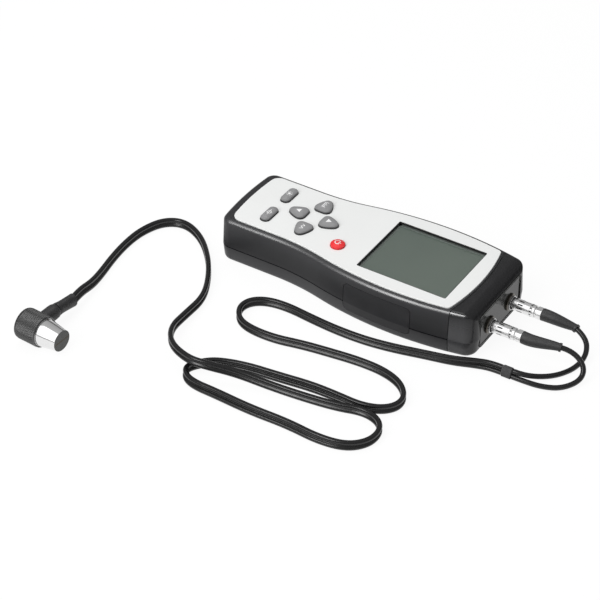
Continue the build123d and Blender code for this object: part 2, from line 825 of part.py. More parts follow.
def case_screws():
    """Four screws that hold the two case halves and the board together."""
    screws = []
    for x, y in screw_places():
        head_z = screw_head_sink
        head = post(x, y, screw_head_radius, head_z, head_z + screw_head_height)
        socket = RegularPolygon(hex_key, 6, major_radius=False)
        head -= Pos(x, y, head_z) * extrude(socket, screw_head_height * 0.6)
        shank_low_z = head_z + screw_head_height
        shank = post(x, y, screw_radius - part_gap / 5, shank_low_z, ceiling_z - 2 * part_gap)
        screws.append(head + shank)
    return Part(children=screws)


# Sockets and plugs

def socket(side):
    """Chromed panel socket with a front ring and a bore for the plug's nose."""
    x = side * socket_x
    back_y = ring_y - socket_depth
    barrel = rod_y(socket_barrel_radius, back_y, ring_y, x)
    ring = rod_y(socket_ring_radius, ring_y, plug_front_y, x)
    ring = chamfer(ring.edges().filter_by(GeomType.CIRCLE).sort_by(Axis.Y)[-1], part_gap)
    bore = rod_y(socket_bore_radius, plug_front_y - socket_bore_depth, 2 * plug_front_y, x)
    return barrel + ring - bore


def socket_washer(side):
    """Black insulating washer between the socket's ring and the plate."""
    x = side * socket_x
    washer = rod_y(washer_radius, washer_y, ring_y, x)
    washer = chamfer(washer.edges().filter_by(GeomType.CIRCLE).sort_by(Axis.Y)[-1], 2 * part_gap)
    return washer - rod_y(socket_barrel_radius + part_gap, 0, 2 * case_high_y, x)


def socket_nut(side):
    """Hexagon nut that clamps the socket behind the end wall of the cap."""
    x = side * socket_x
    seat_y = case_high_y - cap_end_wall - nut_thickness
    seat = Plane(origin=(x, seat_y, socket_z), x_dir=(1, 0, 0), z_dir=(0, 1, 0))
    hexagon = RegularPolygon(nut_across_flats / 2, 6, major_radius=False)
    nut = seat * extrude(hexagon, nut_thickness)
    return nut - rod_y(socket_barrel_radius + part_gap / 3, 0, 2 * case_high_y, x)


def plug_body(side):
    """Inside of a push-pull plug: the nose in the socket and the core under the sleeve."""
    x = side * socket_x
    nose_y = plug_front_y - socket_bore_depth + plug_fit * 10
    nose = rod_y(plug_nose_radius, nose_y, sleeve_start_y, x)
    nose = chamfer(nose.edges().filter_by(GeomType.CIRCLE).sort_by(Axis.Y)[0], 2 * part_gap)
    return nose + rod_y(plug_core_radius, sleeve_start_y - sleeve_front_gap / 2, back_nut_y, x)


def plug_sleeve(side):
    """Release sleeve that slides back on the plug, with short slots for the fingers."""
    x = side * socket_x
    end_y = sleeve_start_y + sleeve_length
    sleeve = rod_y(plug_radius, sleeve_start_y, end_y, x)
    ends = sleeve.edges().filter_by(GeomType.CIRCLE).sort_by(Axis.Y)
    sleeve = chamfer(ends[0], 2 * part_gap)
    sleeve -= rod_y(plug_core_radius + sleeve_fit, 0, 2 * end_y, x)
    seat = Plane(origin=(x, sleeve_start_y + 2.2, socket_z), x_dir=(1, 0, 0), z_dir=(0, 1, 0))
    slot = block(-sleeve_slot_width / 2, sleeve_slot_width / 2, plug_radius - sleeve_slot_depth,
                 plug_radius + 1, 0, sleeve_slot_length)
    for number in range(sleeve_slots):
        sleeve -= seat * Rot(0, 0, 360 / sleeve_slots * number) * slot
    return sleeve


def plug_back_nut(side):
    """Nut at the back of a plug, with two flats, that grips the lead."""
    x = side * socket_x
    nut = rod_y(plug_radius, back_nut_y, boot_y, x)
    nut = chamfer(nut.edges().filter_by(GeomType.CIRCLE), part_gap)
    flat = plug_radius - 1.5 * sleeve_slot_depth
    for way in (-1, 1):
        outer = sorted((way * flat, way * 2 * plug_radius))
        nut -= block(x - 2 * plug_radius, x + 2 * plug_radius, back_nut_y + part_gap,
                     boot_y - 3 * part_gap, socket_z + outer[0], socket_z + outer[1])
    return nut


def plug_boot(side, route):
    """Tapered bend relief from the plug's nut to the lead, with a small collar at its tip."""
    start = Vector(side * socket_x, boot_y, socket_z)
    tip = Vector(*route[-1])
    heading = (Vector(*route[-2]) - tip).normalized()
    shoulder = start + Vector(0, boot_grip_length, 0)
    collar_start = tip - heading * boot_collar_length
    middle = (shoulder + collar_start) / 2
    sections = [
        Plane(origin=start, z_dir=(0, 1, 0)) * Circle(plug_radius),
        Plane(origin=shoulder, z_dir=(collar_start - start)) * Circle(plug_radius - part_gap),
        Plane(origin=middle, z_dir=(collar_start - shoulder)) * Circle((plug_radius + boot_tip_radius) / 2),
        Plane(origin=collar_start, z_dir=heading) * Circle(boot_tip_radius),
    ]
    boot = loft(sections)
    collar = Plane(origin=collar_start, z_dir=heading) * Cylinder(
        boot_collar_radius, boot_collar_length, align=(Align.CENTER, Align.CENTER, Align.MIN))
    return boot + collar


# Cords

def corner_radii(route):
    """The largest arc that the two runs at each corner of a route allow."""
    radii = []
    for before, corner, after in zip(route, route[1:], route[2:]):
        run_in = Vector(*corner) - Vector(*before)
        run_out = Vector(*after) - Vector(*corner)
        half_turn = math.radians(run_in.get_angle(run_out)) / 2
        radii.append(0.45 * min(run_in.length, run_out.length) / math.tan(half_turn))
    return radii


def cord(route, name):
    """A round cord along straight runs joined by tangent arcs."""
    radii = corner_radii(route)
    path = FilletPolyline(*route, radius=radii)
    section = Circle(lead_radius)
    solid = sweep(Plane(origin=path @ 0, z_dir=path % 0) * section, path=path)
    print(name, "length", round(path.length, 1), "smallest radius", round(min(radii), 1),
          "volume over section", round(solid.volume / (section.area * path.length), 3))
    print(name, "radii", [round(radius, 1) for radius in radii])
    return solid


def strand(way, name):
    """Upper (way 1) or lower (way -1) strand of the twin cable."""
    lift = way * lead_radius
    lean = math.radians(splitter_lean)
    points = [(x, y, z + lift) for x, y, z in twin_route]
    points += [(x - lift * math.cos(lean), y, z + lift * math.sin(lean)) for x, y, z in splitter_route]
    return cord(points, name)


def splitter():
    """Moulded sleeve, lying half on edge, where the two leads come together."""
    body = Box(splitter_width, splitter_length, splitter_height)
    body = fillet(body.edges().filter_by(Axis.Y), splitter_corner)
    body = chamfer(body.edges().group_by(Axis.Y)[0] + body.edges().group_by(Axis.Y)[-1], part_gap)
    return Pos(splitter_x, splitter_y, splitter_z) * Rot(0, splitter_lean, 0) * body


# Probe

def probe_frame():
    """Plane on the centre of the probe's face: z out of the face, x away from the cable."""
    turn = math.radians(probe_turn)
    ahead = Vector(math.cos(turn), math.sin(turn), 0)
    return Plane(origin=(probe_face_x, probe_face_y, knurl_radius),
                 x_dir=ahead.cross(Vector(0, 0, 1)), z_dir=ahead)


def turned(*profile):
    """A solid of revolution about the probe's axis from (radius, distance) points."""
    with BuildSketch(Plane.XZ) as half:
        with BuildLine():
            Polyline(*profile, close=True)
        make_face()
    return revolve(half.sketch, Axis.Z)


def probe_cap():
    """Knurled cap, closed at the back, with a shallow recess round the cone."""
    front = -cone_length
    back = front - knurl_length
    cap = turned((0, back), (knurl_radius, back), (knurl_radius, front), (0, front))
    cap = fillet(cap.edges().sort_by(Axis.Z)[0], knurl_edge)
    cap = chamfer(cap.edges().sort_by(Axis.Z)[-1], part_gap)
    inner = knurl_radius - knurl_wall
    stem_room = turned((0, back + 1.6), (inner, back + 1.6), (inner, front + 1), (0, front + 1))
    cap -= stem_room
    return cap - boot_rod(boot_radius + part_gap / 3, 0, boot_reach)


def probe_body():
    """Chromed cone with its hollow stem inside the cap."""
    inner = knurl_radius - knurl_wall - part_gap / 3
    front = -cone_length
    root = front - knurl_lip_depth
    body = turned(
        (cone_bore_radius, 0), (cone_tip_radius, 0), (cone_base_radius - 0.3, front),
        (inner, front), (inner, root - stem_length), (cone_bore_radius, root - stem_length))
    body = chamfer(body.edges().sort_by(Axis.Z)[-1], 0.05)
    return body - boot_rod(boot_radius + part_gap / 3, cone_bore_radius / 2, boot_reach)


def half_disc(radius, gap, high, low, way):
    """Half of a round rod, on one side of the barrier."""
    rod = turned((0, low), (radius, low), (radius, high), (0, high))
    near = (barrier_thickness / 2 + gap) * way
    limits = sorted((near, way * 2 * radius))
    return rod & block(-2 * radius, 2 * radius, limits[0], limits[1], low, high)


def acoustic_barrier():
    """Cork barrier that keeps the two halves of the probe apart."""
    half = cone_bore_radius - face_gap * 2
    low = -delay_length - crystal_thickness
    return block(-half * 0.995, half * 0.995, -barrier_thickness / 2, barrier_thickness / 2, low, 0) & turned(
        (0, low), (half, low), (half, 0), (0, 0))


def backing():
    """Damping block behind the crystals."""
    high = -delay_length - crystal_thickness - face_gap
    low = high - backing_length
    block_radius = crystal_radius - face_gap
    core = turned((0, low), (block_radius, low), (block_radius, high), (0, high))
    return core - boot_rod(boot_radius + 1, 0, boot_reach)


def boot_rod(radius, low, high):
    """A round rod square to the probe's axis, out of the side of the cap."""
    side = Plane(origin=(0, 0, -boot_back), x_dir=(0, 1, 0), z_dir=(-1, 0, 0))
    return side * Pos(0, 0, low) * Cylinder(
        radius, high - low, align=(Align.CENTER, Align.CENTER, Align.MIN))


def probe_boot():
    """Moulded elbow that brings the cable out of the side of the cap."""
    boot = boot_rod(boot_radius, cone_bore_radius + part_gap, boot_reach)
    end = boot.edges().sort_by(Axis.X)[0]
    return fillet(end, boot_edge)


def cable_wrap():
    """Sleeve from the elbow to the start of the twin cable, taller than wide at its end."""
    probe = probe_frame()
    boot_end = probe.from_local_coords(Vector(-boot_reach, 0, -boot_back))
    cable_end = Vector(*twin_route[0])
    heading = Vector(*twin_route[1]) - cable_end
    up = Vector(0, 0, 1)
    first = Plane(origin=boot_end, x_dir=up, z_dir=-probe.x_dir) * Circle(wrap_start_width / 2)
    last = Plane(origin=cable_end, x_dir=up, z_dir=heading) * Ellipse(wrap_height / 2, wrap_width / 2)
    return loft([first, last])


def in_place(piece):
    """Moves a piece of the probe from its own frame to where the probe lies."""
    return probe_frame().location * piece


# All nodes

nodes = {
    "front_case": front_case(),
    "rear_case": rear_case(),
    "end_cap": end_cap(),
    "socket_plate": socket_plate(),
    "face_panel": face_panel(),
    "side_grip_left": side_grip(-1),
    "side_grip_right": side_grip(1),
    "display_window": display_window(),
    "display_glass": display_glass(),
    "display_backlight": backlight(),
    "display_frame": display_frame(),
    "main_board": main_board(),
    "processor_chip": chip(processor_x, processor_y, processor_side, processor_side, processor_height),
    "amplifier_chip": chip(amplifier_x, amplifier_y, amplifier_width, amplifier_length, amplifier_height),
    "pulser_coil": pulser_coil(),
    "keypad_film": keypad_film(),
    "keypad_mat": keypad_mat(),
    "battery_left": cell(-1),
    "battery_right": cell(1),
    "battery_contacts": battery_contacts(),
    "battery_springs": battery_springs(),
    "battery_door": battery_door(),
    "case_screws": case_screws(),
    "lead_splitter": splitter(),
    "probe_cap": in_place(probe_cap()),
    "probe_body": in_place(probe_body()),
    "probe_delay_transmit": in_place(half_disc(cone_bore_radius - face_gap, face_gap, 0, -delay_length, 1)),
    "probe_delay_receive": in_place(half_disc(cone_bore_radius - face_gap, face_gap, 0, -delay_length, -1)),
    "probe_crystal_transmit": in_place(half_disc(
        crystal_radius, 2 * face_gap, -delay_length, -delay_length - crystal_thickness, 1)),
    "probe_crystal_receive": in_place(half_disc(
        crystal_radius, 2 * face_gap, -delay_length, -delay_length - crystal_thickness, -1)),
    "probe_barrier": in_place(acoustic_barrier()),
    "probe_backing": in_place(backing()),
    "probe_boot": in_place(probe_boot()),
    "cable_wrap": cable_wrap(),
    "twin_cable": Part(children=[strand(1, "upper strand"), strand(-1, "lower strand")]),
}
for name in KEYS:
    nodes[name] = key(name)
for side, use, route in ((1, "near", near_lead_route), (-1, "far", far_lead_route)):
    nodes[f"socket_{use}"] = socket(side)
    nodes[f"socket_washer_{use}"] = socket_washer(side)
    nodes[f"socket_nut_{use}"] = socket_nut(side)
    nodes[f"plug_body_{use}"] = plug_body(side)
    nodes[f"plug_sleeve_{use}"] = plug_sleeve(side)
    nodes[f"plug_nut_{use}"] = plug_back_nut(side)
    nodes[f"plug_boot_{use}"] = plug_boot(side, route)
    nodes[f"lead_{use}"] = cord(route, f"{use} lead")

os.makedirs("parts", exist_ok=True)
for name, solid in nodes.items():
    export_step(solid, f"parts/{name}.step")
print(len(nodes), "nodes")
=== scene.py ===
# %% [markdown]
# # Ultrasonic thickness gauge
#
# A hand-held gauge lies on its back. Two metal plugs sit in its end, their leads meet in a moulded
# sleeve, and a flat twin cable runs in loose loops to the contact probe. The rigid pieces come from
# the part's own solids, which Blender only dresses. This script models what a solid does poorly: the
# cable, the knurled grip, the crowned keys, the grooved sleeves and the small printed signs.

# %% Load the part as a fixed frame
import math

import bpy
from mathutils import Matrix, Vector


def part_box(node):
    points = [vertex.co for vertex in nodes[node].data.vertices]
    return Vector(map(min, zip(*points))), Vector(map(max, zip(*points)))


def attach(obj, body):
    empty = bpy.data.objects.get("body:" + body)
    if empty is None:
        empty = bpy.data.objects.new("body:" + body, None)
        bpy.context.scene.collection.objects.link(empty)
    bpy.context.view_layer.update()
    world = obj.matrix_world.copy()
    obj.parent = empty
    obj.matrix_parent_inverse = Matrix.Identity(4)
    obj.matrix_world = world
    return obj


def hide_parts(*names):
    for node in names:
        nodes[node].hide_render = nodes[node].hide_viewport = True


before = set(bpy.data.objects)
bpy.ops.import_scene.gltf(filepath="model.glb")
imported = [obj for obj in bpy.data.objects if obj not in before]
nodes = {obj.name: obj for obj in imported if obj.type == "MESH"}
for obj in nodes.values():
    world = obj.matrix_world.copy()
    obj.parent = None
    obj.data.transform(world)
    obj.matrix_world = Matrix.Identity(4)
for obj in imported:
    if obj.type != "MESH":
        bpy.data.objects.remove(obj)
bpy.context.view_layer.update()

# %% What the whole script uses
millimetre = 0.001
near_and_far = ("near", "far")


def put_in_scene(name, data):
    """A new object in the scene that shows a curve, a mesh, a lamp or a camera."""
    thing = bpy.data.objects.new(name, data)
    bpy.context.scene.collection.objects.link(thing)
    return thing


# %% [markdown]
# ## The camera
#
# The photograph looks down on the gauge from the socket end, from 38.5 degrees above the table. A
# camera could be moved by eye until the picture fits, but two angles and a distance say its place
# exactly. A long lens far away gives the weak perspective of a product picture.

# %% Camera at the photograph's viewing angle
camera_azimuth = math.radians(122.51)
camera_elevation = math.radians(38.53)
camera_roll = -0.00334
camera_distance = 1.13112
camera_target = Vector((0.031527, -0.022344, 0.0))
towards_camera = Vector((
    math.sin(camera_azimuth) * math.cos(camera_elevation),
    -math.cos(camera_azimuth) * math.cos(camera_elevation),
    math.sin(camera_elevation),
))
camera_data = bpy.data.cameras.new("photo_camera")
camera_data.sensor_width = 36.0
camera_data.lens = 135.2
camera_data.clip_start = 0.05
camera_data.clip_end = 20.0
camera = put_in_scene("photo_camera", camera_data)
camera.location = camera_target + towards_camera * camera_distance
camera.rotation_euler = (-towards_camera).to_track_quat("-Z", "Y").to_euler()
camera.rotation_euler.rotate_axis("Z", camera_roll)
bpy.context.scene.camera = camera
print("camera at", tuple(round(v, 3) for v in camera.location))

# %% [markdown]
# ## Routes of the cords
#
# Two thin leads run from the plugs to a splitter, and a twin cable runs from there to the probe. A
# cable could be a mesh drawn out by hand, but a curve with a thickness stays easy to change. So each
# cord is one smooth NURBS line. Its control points are the corners of the route that the solid cord
# follows, in metres. The line is drawn towards them like a bent spring and stays inside them.

# %% Control points, from the probe to the splitter and from the splitter to the plugs
twin_cable_points = [
    (0.0985, -0.1135, 0.0066), (0.0915, -0.1145, 0.0066), (0.0810, -0.1150, 0.0044),
    (0.0695, -0.1175, 0.0028), (0.0570, -0.1200, 0.0028), (0.0435, -0.1215, 0.0028),
    (0.0300, -0.1210, 0.0028), (0.0170, -0.1160, 0.0028), (0.0120, -0.1055, 0.0028),
    (0.0180, -0.0915, 0.0028), (0.0305, -0.0785, 0.0028), (0.0450, -0.0685, 0.0028),
    (0.0595, -0.0620, 0.0029), (0.0755, -0.0615, 0.0039), (0.0905, -0.0600, 0.0059),
    (0.1025, -0.0515, 0.0080), (0.1080, -0.0375, 0.0087), (0.1065, -0.0280, 0.0083),
    (0.1010, -0.0150, 0.0057), (0.0980, 0.0025, 0.0033), (0.0960, 0.0195, 0.0028),
    (0.0935, 0.0370, 0.0028), (0.0895, 0.0495, 0.0028), (0.0915, 0.0590, 0.0028),
    (0.0975, 0.0640, 0.0028), (0.1070, 0.0635, 0.0028), (0.1150, 0.0560, 0.0028),
    (0.1175, 0.0420, 0.0028), (0.1160, 0.0240, 0.0028), (0.1170, 0.0040, 0.0028),
    (0.1160, -0.0165, 0.0028), (0.1160, -0.0285, 0.0028), (0.1135, -0.0355, 0.0028),
    (0.1080, -0.0390, 0.0028), (0.1010, -0.0345, 0.0028), (0.0960, -0.0280, 0.0028),
    (0.0920, -0.0145, 0.0028), (0.0900, 0.0025, 0.0028), (0.0875, 0.0195, 0.0028),
    (0.0872, 0.0340, 0.0028), (0.0875, 0.0470, 0.0028), (0.0840, 0.0570, 0.0028),
    (0.0775, 0.0620, 0.0028), (0.0700, 0.0610, 0.0028), (0.0630, 0.0540, 0.0028),
    (0.0595, 0.0425, 0.0028), (0.0595, 0.0285, 0.0028), (0.0615, 0.0130, 0.0028),
    (0.0635, -0.0005, 0.0028), (0.0670, -0.0150, 0.0028), (0.0670, -0.0290, 0.0028),
    (0.0640, -0.0375, 0.0028), (0.0565, -0.0425, 0.0028), (0.0490, -0.0410, 0.0028),
    (0.0440, -0.0340, 0.0028), (0.0425, -0.0225, 0.0028), (0.0440, -0.0080, 0.0028),
    (0.0450, 0.0075, 0.0028), (0.0445, 0.0235, 0.0028), (0.0420, 0.0385, 0.0028),
    (0.0380, 0.0540, 0.0028), (0.0350, 0.0670, 0.0028), (0.0308, 0.0770, 0.0028),
    (0.0287, 0.0848, 0.0032), (0.0287, 0.0908, 0.0032),
]
near_lead_points = [
    (0.0294, 0.0968, 0.0021), (0.0294, 0.1020, 0.0021), (0.0279, 0.1116, 0.0014),
    (0.0237, 0.1207, 0.0014), (0.0145, 0.1261, 0.0022), (0.0098, 0.1254, 0.0074),
    (0.0073, 0.1174, 0.0116), (0.0085, 0.1118, 0.0121),
]
far_lead_points = [
    (0.0280, 0.0968, 0.0044), (0.0280, 0.1022, 0.0044), (0.0222, 0.1092, 0.0023),
    (0.0153, 0.1151, 0.0014), (0.0059, 0.1195, 0.0014), (-0.0029, 0.1204, 0.0038),
    (-0.0089, 0.1167, 0.0082), (-0.0107, 0.1105, 0.0098),
]
lead_radius = 0.00135
print(len(twin_cable_points), "points for the cable,", len(near_lead_points), "and",
      len(far_lead_points), "for the leads")

# %% [markdown]
# ## The cross-section of the twin cable
#
# The cable is two round leads moulded side by side, so its section is a figure of eight with a
# groove on each flat side. Two separate cords would come apart in the bends. One closed outline
# that the line carries along keeps them together. The outline is drawn a thousand times too large,
# and the radius of the cord's points brings it back to size. In the photograph the cable stands on
# edge, so the long side of the outline points up. At some points it leans over, most of all where
# it meets the splitter.

# %% Outline of the twin cable
point_radius = 0.001
web_half = 0.00030
round_handle = lead_radius * 0.5523
groove_handle = round_handle * 0.4
outline_corners = [
    ((0.0, 2 * lead_radius), (round_handle, 0.0)),
    ((lead_radius, lead_radius), (0.0, -round_handle)),
    ((web_half, 0.0), (0.0, -groove_handle)),
    ((lead_radius, -lead_radius), (0.0, -round_handle)),
    ((0.0, -2 * lead_radius), (-round_handle, 0.0)),
    ((-lead_radius, -lead_radius), (0.0, round_handle)),
    ((-web_half, 0.0), (0.0, groove_handle)),
    ((-lead_radius, lead_radius), (0.0, round_handle)),
]
outline_data = bpy.data.curves.new("twin_outline", "CURVE")
outline_data.dimensions = "2D"
outline_data.resolution_u = 5
outline_spline = outline_data.splines.new("BEZIER")
outline_spline.bezier_points.add(len(outline_corners) - 1)
for point, corner in zip(outline_spline.bezier_points, outline_corners):
    place, ahead = (Vector((*pair, 0.0)) / point_radius for pair in corner)
    point.co = place
    point.handle_left_type = point.handle_right_type = "FREE"
    point.handle_right = place + ahead
    point.handle_left = place - ahead
outline_spline.use_cyclic_u = True
twin_outline = put_in_scene("twin_outline", outline_data)
twin_outline.hide_render = True
twin_outline.hide_viewport = True
print("the outline has", len(outline_corners), "points")

# %% How far the cable leans over, in degrees, at some of its points
cable_leans = {0: -16, 1: -16, 2: -14, 3: -10, 4: -5, 26: 6, 27: 14, 28: 18, 29: 22, 30: 26, 31: 20, 32: 8,
               35: -8, 36: -18, 37: -20, 38: -20, 39: -12, 40: -5, -4: -4, -3: -14, -2: -32, -1: -32}
cable_leans = {number % len(twin_cable_points): lean for number, lean in cable_leans.items()}
print("the cable leans at", len(cable_leans), "of its points")

# %% [markdown]
# ## Laying a cord
#
# One helper makes every cord: a NURBS line of order 3 along the control points, clamped at its
# ends, with a round section or an outline. Order 2 would give straight runs with sharp corners, as
# no cable has, and a higher order would stray further from the points. The order is set after the
# points, because before them it would be cut down to straight runs.

# %% Helper that makes a cord
def lay_cord(name, points, outline=None, leans=None):
    """A smooth cord along its control points, round unless an outline is given."""
    curve = bpy.data.curves.new(name, "CURVE")
    curve.dimensions = "3D"
    curve.resolution_u = 8
    curve.use_fill_caps = True
    spline = curve.splines.new("NURBS")
    spline.points.add(len(points) - 1)
    for number, (point, place) in enumerate(zip(spline.points, points)):
        point.co = (*place, 1.0)
        point.radius = point_radius
        point.tilt = math.radians(leans.get(number, 0.0)) if leans else 0.0
    spline.order_u = 3
    spline.use_endpoint_u = True
    if outline:
        curve.twist_mode = "Z_UP"
        curve.bevel_mode = "OBJECT"
        curve.bevel_object = outline
    else:
        curve.bevel_depth = lead_radius / point_radius
        curve.bevel_resolution = 5
    return put_in_scene(name, curve)


twin_cable_line = lay_cord("twin_cable_line", twin_cable_points, twin_outline, cable_leans)
near_lead_line = lay_cord("near_lead_line", near_lead_points)
far_lead_line = lay_cord("far_lead_line", far_lead_points)
print("three cords laid")

# %% [markdown]
# ## Finishes
#
# A finish is a material that Blender works out from nodes. Photographs of surfaces could be laid on
# the pieces, but nodes need no unwrapping and stay sharp in a close look. All patterns are in the
# object's own coordinates, so they stay on a piece that moves. Small helpers join the nodes, so that
# each finish below is only a line or two: its gloss, from the least rough to the roughest, its tones,
# from dark to light, and the grain of its skin, each with the size of its pattern in millimetres.

# %% Helpers that fill the sockets of nodes
def fill(socket, value):
    """Gives a socket a plain value, or links it to another node's output."""
    if isinstance(value, bpy.types.NodeSocket):
        socket.id_data.links.new(value, socket)
    else:
        socket.default_value = value


def fill_by_name(node, **sockets):
    """Fills several sockets of a node."""
    for name, value in sockets.items():
        fill(node.inputs[name.replace("_", " ")], value)


def add_node(tree, kind, **sockets):
    """A new node with some of its sockets filled."""
    node = tree.nodes.new(f"ShaderNode{kind}")
    fill_by_name(node, **sockets)
    return node


def work_out(tree, operation, *values):
    """A node that works out one number from others."""
    node = tree.nodes.new("ShaderNodeMath")
    node.operation = operation
    for socket, value in zip(node.inputs, values):
        fill(socket, value)
    return node.outputs["Value"]


def add_ramp(tree, value, stops):
    """A ramp that turns a value into a colour; the stops are positions with their colours."""
    ramp = add_node(tree, "ValToRGB", Fac=value)
    elements = ramp.color_ramp.elements
    while len(elements) < len(stops):
        elements.new(0.5)
    for element, (position, colour) in zip(elements, stops):
        element.position = position
        element.color = colour
    return ramp.outputs["Color"]


def screen(red, green, blue):
    """A colour as a screen shows it, from 0 to 255, turned into the linear values of a shader."""
    shares = [value / 255 for value in (red, green, blue)]
    linear = [s / 12.92 if s <= 0.04045 else ((s + 0.055) / 1.055) ** 2.4 for s in shares]
    return (*linear, 1.0)


# %% Helpers for patterns on a surface
noise_low, noise_high = 0.3, 0.7
even = (1.0, 1.0, 1.0)


def shader_of(material):
    """The node that holds a material's own values."""
    return material.node_tree.nodes["Principled BSDF"]


def noise(material, size, detail=2.0, stretch=even):
    """Noise with features of about that size in millimetres; most of it is from 0.3 to 0.7."""
    tree = material.node_tree
    place = add_node(tree, "TexCoord").outputs["Object"]
    stretched = add_node(tree, "Mapping", Vector=place, Scale=stretch).outputs["Vector"]
    scale = 1.0 / (size * millimetre)
    return add_node(tree, "TexNoise", Vector=stretched, Scale=scale, Detail=detail).outputs["Fac"]


def height_on(material):
    """The height of each point of the surface, in metres."""
    place = add_node(material.node_tree, "TexCoord").outputs["Object"]
    return add_node(material.node_tree, "SeparateXYZ", Vector=place).outputs["Z"]


def vary_colour(material, dark, light, size, detail=2.0, stretch=even, ends=(noise_low, noise_high)):
    """Lets noise move the colour between two colours."""
    stops = [(ends[0], screen(*dark)), (ends[1], screen(*light))]
    colour = add_ramp(material.node_tree, noise(material, size, detail, stretch), stops)
    fill_by_name(shader_of(material), Base_Color=colour)


def vary_roughness(material, low, high, *pattern):
    """Lets noise move the roughness between two values."""
    spread = add_node(material.node_tree, "MapRange", Value=noise(material, *pattern),
                      From_Min=noise_low, From_Max=noise_high, To_Min=low, To_Max=high)
    fill_by_name(shader_of(material), Roughness=spread.outputs["Result"])


def add_grain(material, depth, *pattern):
    """Lets noise raise the surface by a depth in millimetres."""
    bump = add_node(material.node_tree, "Bump", Height=noise(material, *pattern),
                    Distance=depth * millimetre, Strength=1.0)
    fill_by_name(shader_of(material), Normal=bump.outputs["Normal"])


# %% Helpers that follow the height, and the finish itself
def paint_shade_by_height(material, steps):
    """Paints shade and light into a material by height: steps of height in millimetres and grey value on a
    screen.
    """
    tree = material.node_tree
    low, high = steps[0][0], steps[-1][0]
    spread = add_node(tree, "MapRange", Value=height_on(material),
                      From_Min=low * millimetre, From_Max=high * millimetre)
    stops = [((height - low) / (high - low), screen(grey, grey, grey + 1)) for height, grey in steps]
    fill_by_name(shader_of(material), Base_Color=add_ramp(tree, spread.outputs["Result"], stops))


def darken_line(material, height, half_width, specular):
    """A line round a piece, its height and half width in millimetres, that reflects nothing."""
    tree = material.node_tree
    inside = work_out(tree, "COMPARE", height_on(material), height * millimetre, half_width * millimetre)
    spread = add_node(tree, "MapRange", Value=inside, To_Min=specular, To_Max=0.0)
    fill_by_name(shader_of(material), Specular_IOR_Level=spread.outputs["Result"])


def new_finish(name, gloss, tones=None, grain=None, metallic=0.0, heights=None, **plain):
    """A material with a gloss, tones that noise moves or shade painted by height, and perhaps a grain."""
    material = bpy.data.materials.new(name)
    material.use_nodes = True
    fill_by_name(shader_of(material), Roughness=gloss[0], Metallic=metallic, **plain)
    if len(gloss) > 1:
        vary_roughness(material, *gloss)
    if heights:
        paint_shade_by_height(material, heights)
    elif len(tones) > 1:
        vary_colour(material, *tones)
    else:
        fill_by_name(shader_of(material), Base_Color=screen(*tones[0]))
    if grain:
        add_grain(material, *grain)
    return material


# %% [markdown]
# ## Plastic, lacquer and rubber of the housing
#
# The two halves are dark grey ABS. The mould has a fine spark-eroded grain, which makes the gloss
# soft, and handling leaves patches that shine a little more. One flat colour would do for a toy. In
# a real studio the flank is darker towards its middle, as it mirrors the room, so that reflection is
# painted into the grey by height: painted shade round the middle of the flank, painted light low down
# and at the shoulder. The seam between the halves is too fine to model: a dark line at its height
# mirrors nothing, as a gap does. The cap at the socket end is a glossier plastic, with painted shade
# that darkens it towards its top. The face is lacquered and the pads on the flanks are soft rubber.

# %% Finishes of the housing
seam_height = 9.7
# The heights paint reflection into the grey: painted shade round the middle of the flank, painted light low
# down and at the shoulder, and a black line at the seam.
case_plastic = new_finish(
    "case_plastic", gloss=(0.32, 0.38, 12), grain=(0.001, 0.35),
    heights=[(0.0, 36), (3.5, 28), (8.0, 22), (9.4, 18), (9.5, 0), (9.9, 0), (10.0, 14), (13.0, 12),
             (18.0, 16), (24.0, 24), (26.5, 20)])
darken_line(case_plastic, seam_height, half_width=0.25, specular=0.22)
# The heights paint shade on the cap: darker towards its top, lighter low down.
cap_plastic = new_finish("cap_plastic", gloss=(0.18, 0.24, 10), grain=(0.001, 0.5), Specular_IOR_Level=0.32,
                         heights=[(0.0, 34), (14.0, 30), (20.0, 24), (24.0, 14), (26.5, 10)])
plate_plastic = new_finish("plate_plastic", gloss=(0.12, 0.2, 6), tones=((26, 27, 25), (30, 31, 29), 15),
                           grain=(0.002, 0.8), Specular_IOR_Level=0.32)
# A light grey that paints the highlight on the edge of the socket plate.
painted_edge_highlight = new_finish("painted_edge_highlight", gloss=(0.26, 0.36, 4), tones=[(72, 73, 71)])
panel_lacquer = new_finish("panel_lacquer", gloss=(0.34, 0.42, 8),
                           tones=((237, 238, 237), (240, 241, 240), 40), grain=(0.008, 0.6))
grip_rubber = new_finish("grip_rubber", gloss=(0.3, 0.38, 4), tones=((14, 14, 15), (18, 18, 19), 10),
                         grain=(0.002, 0.25), Specular_IOR_Level=0.18)
print(len(bpy.data.materials), "finishes so far")

# %% [markdown]
# ## Display
#
# A clear acrylic window sits over the liquid crystal glass. Real glass that bends light would need
# many more rays, so the window is nearly transparent and only mirrors. The glass below is switched
# off, so it shows the grey green of its polariser, a little cloudy.

# %% Finishes of the display
window_acrylic = new_finish("window_acrylic", gloss=(0.02, 0.05, 20), tones=[(255, 255, 255)], metallic=1.0,
                            Alpha=0.05)
display_polariser = new_finish("display_polariser", gloss=(0.36, 0.44, 3),
                               tones=((80, 94, 85), (88, 101, 91), 50), grain=(0.002, 0.4),
                               Specular_IOR_Level=0.3)
gasket_black = new_finish("gasket_black", gloss=(0.5, 0.7, 1), tones=[(20, 20, 20)], grain=(0.01, 0.3))
border_print = new_finish("border_print", gloss=[0.45], tones=((113, 121, 116), (119, 127, 122), 4),
                          grain=(0.002, 0.4))
milky_plastic = new_finish("milky_plastic", gloss=[0.35], tones=((230, 230, 222), (240, 240, 233), 10),
                           grain=(0.01, 0.5), Subsurface_Weight=0.2)
print(len(bpy.data.materials), "finishes so far")

# %% [markdown]
# ## Keys
#
# The keys are silicone rubber: matt, slightly soft to the light, with a fine skin. Their feet sit
# in holes of the panel where little light comes in. A lamp alone doesn't show that well, so the
# grey deepens towards the foot.

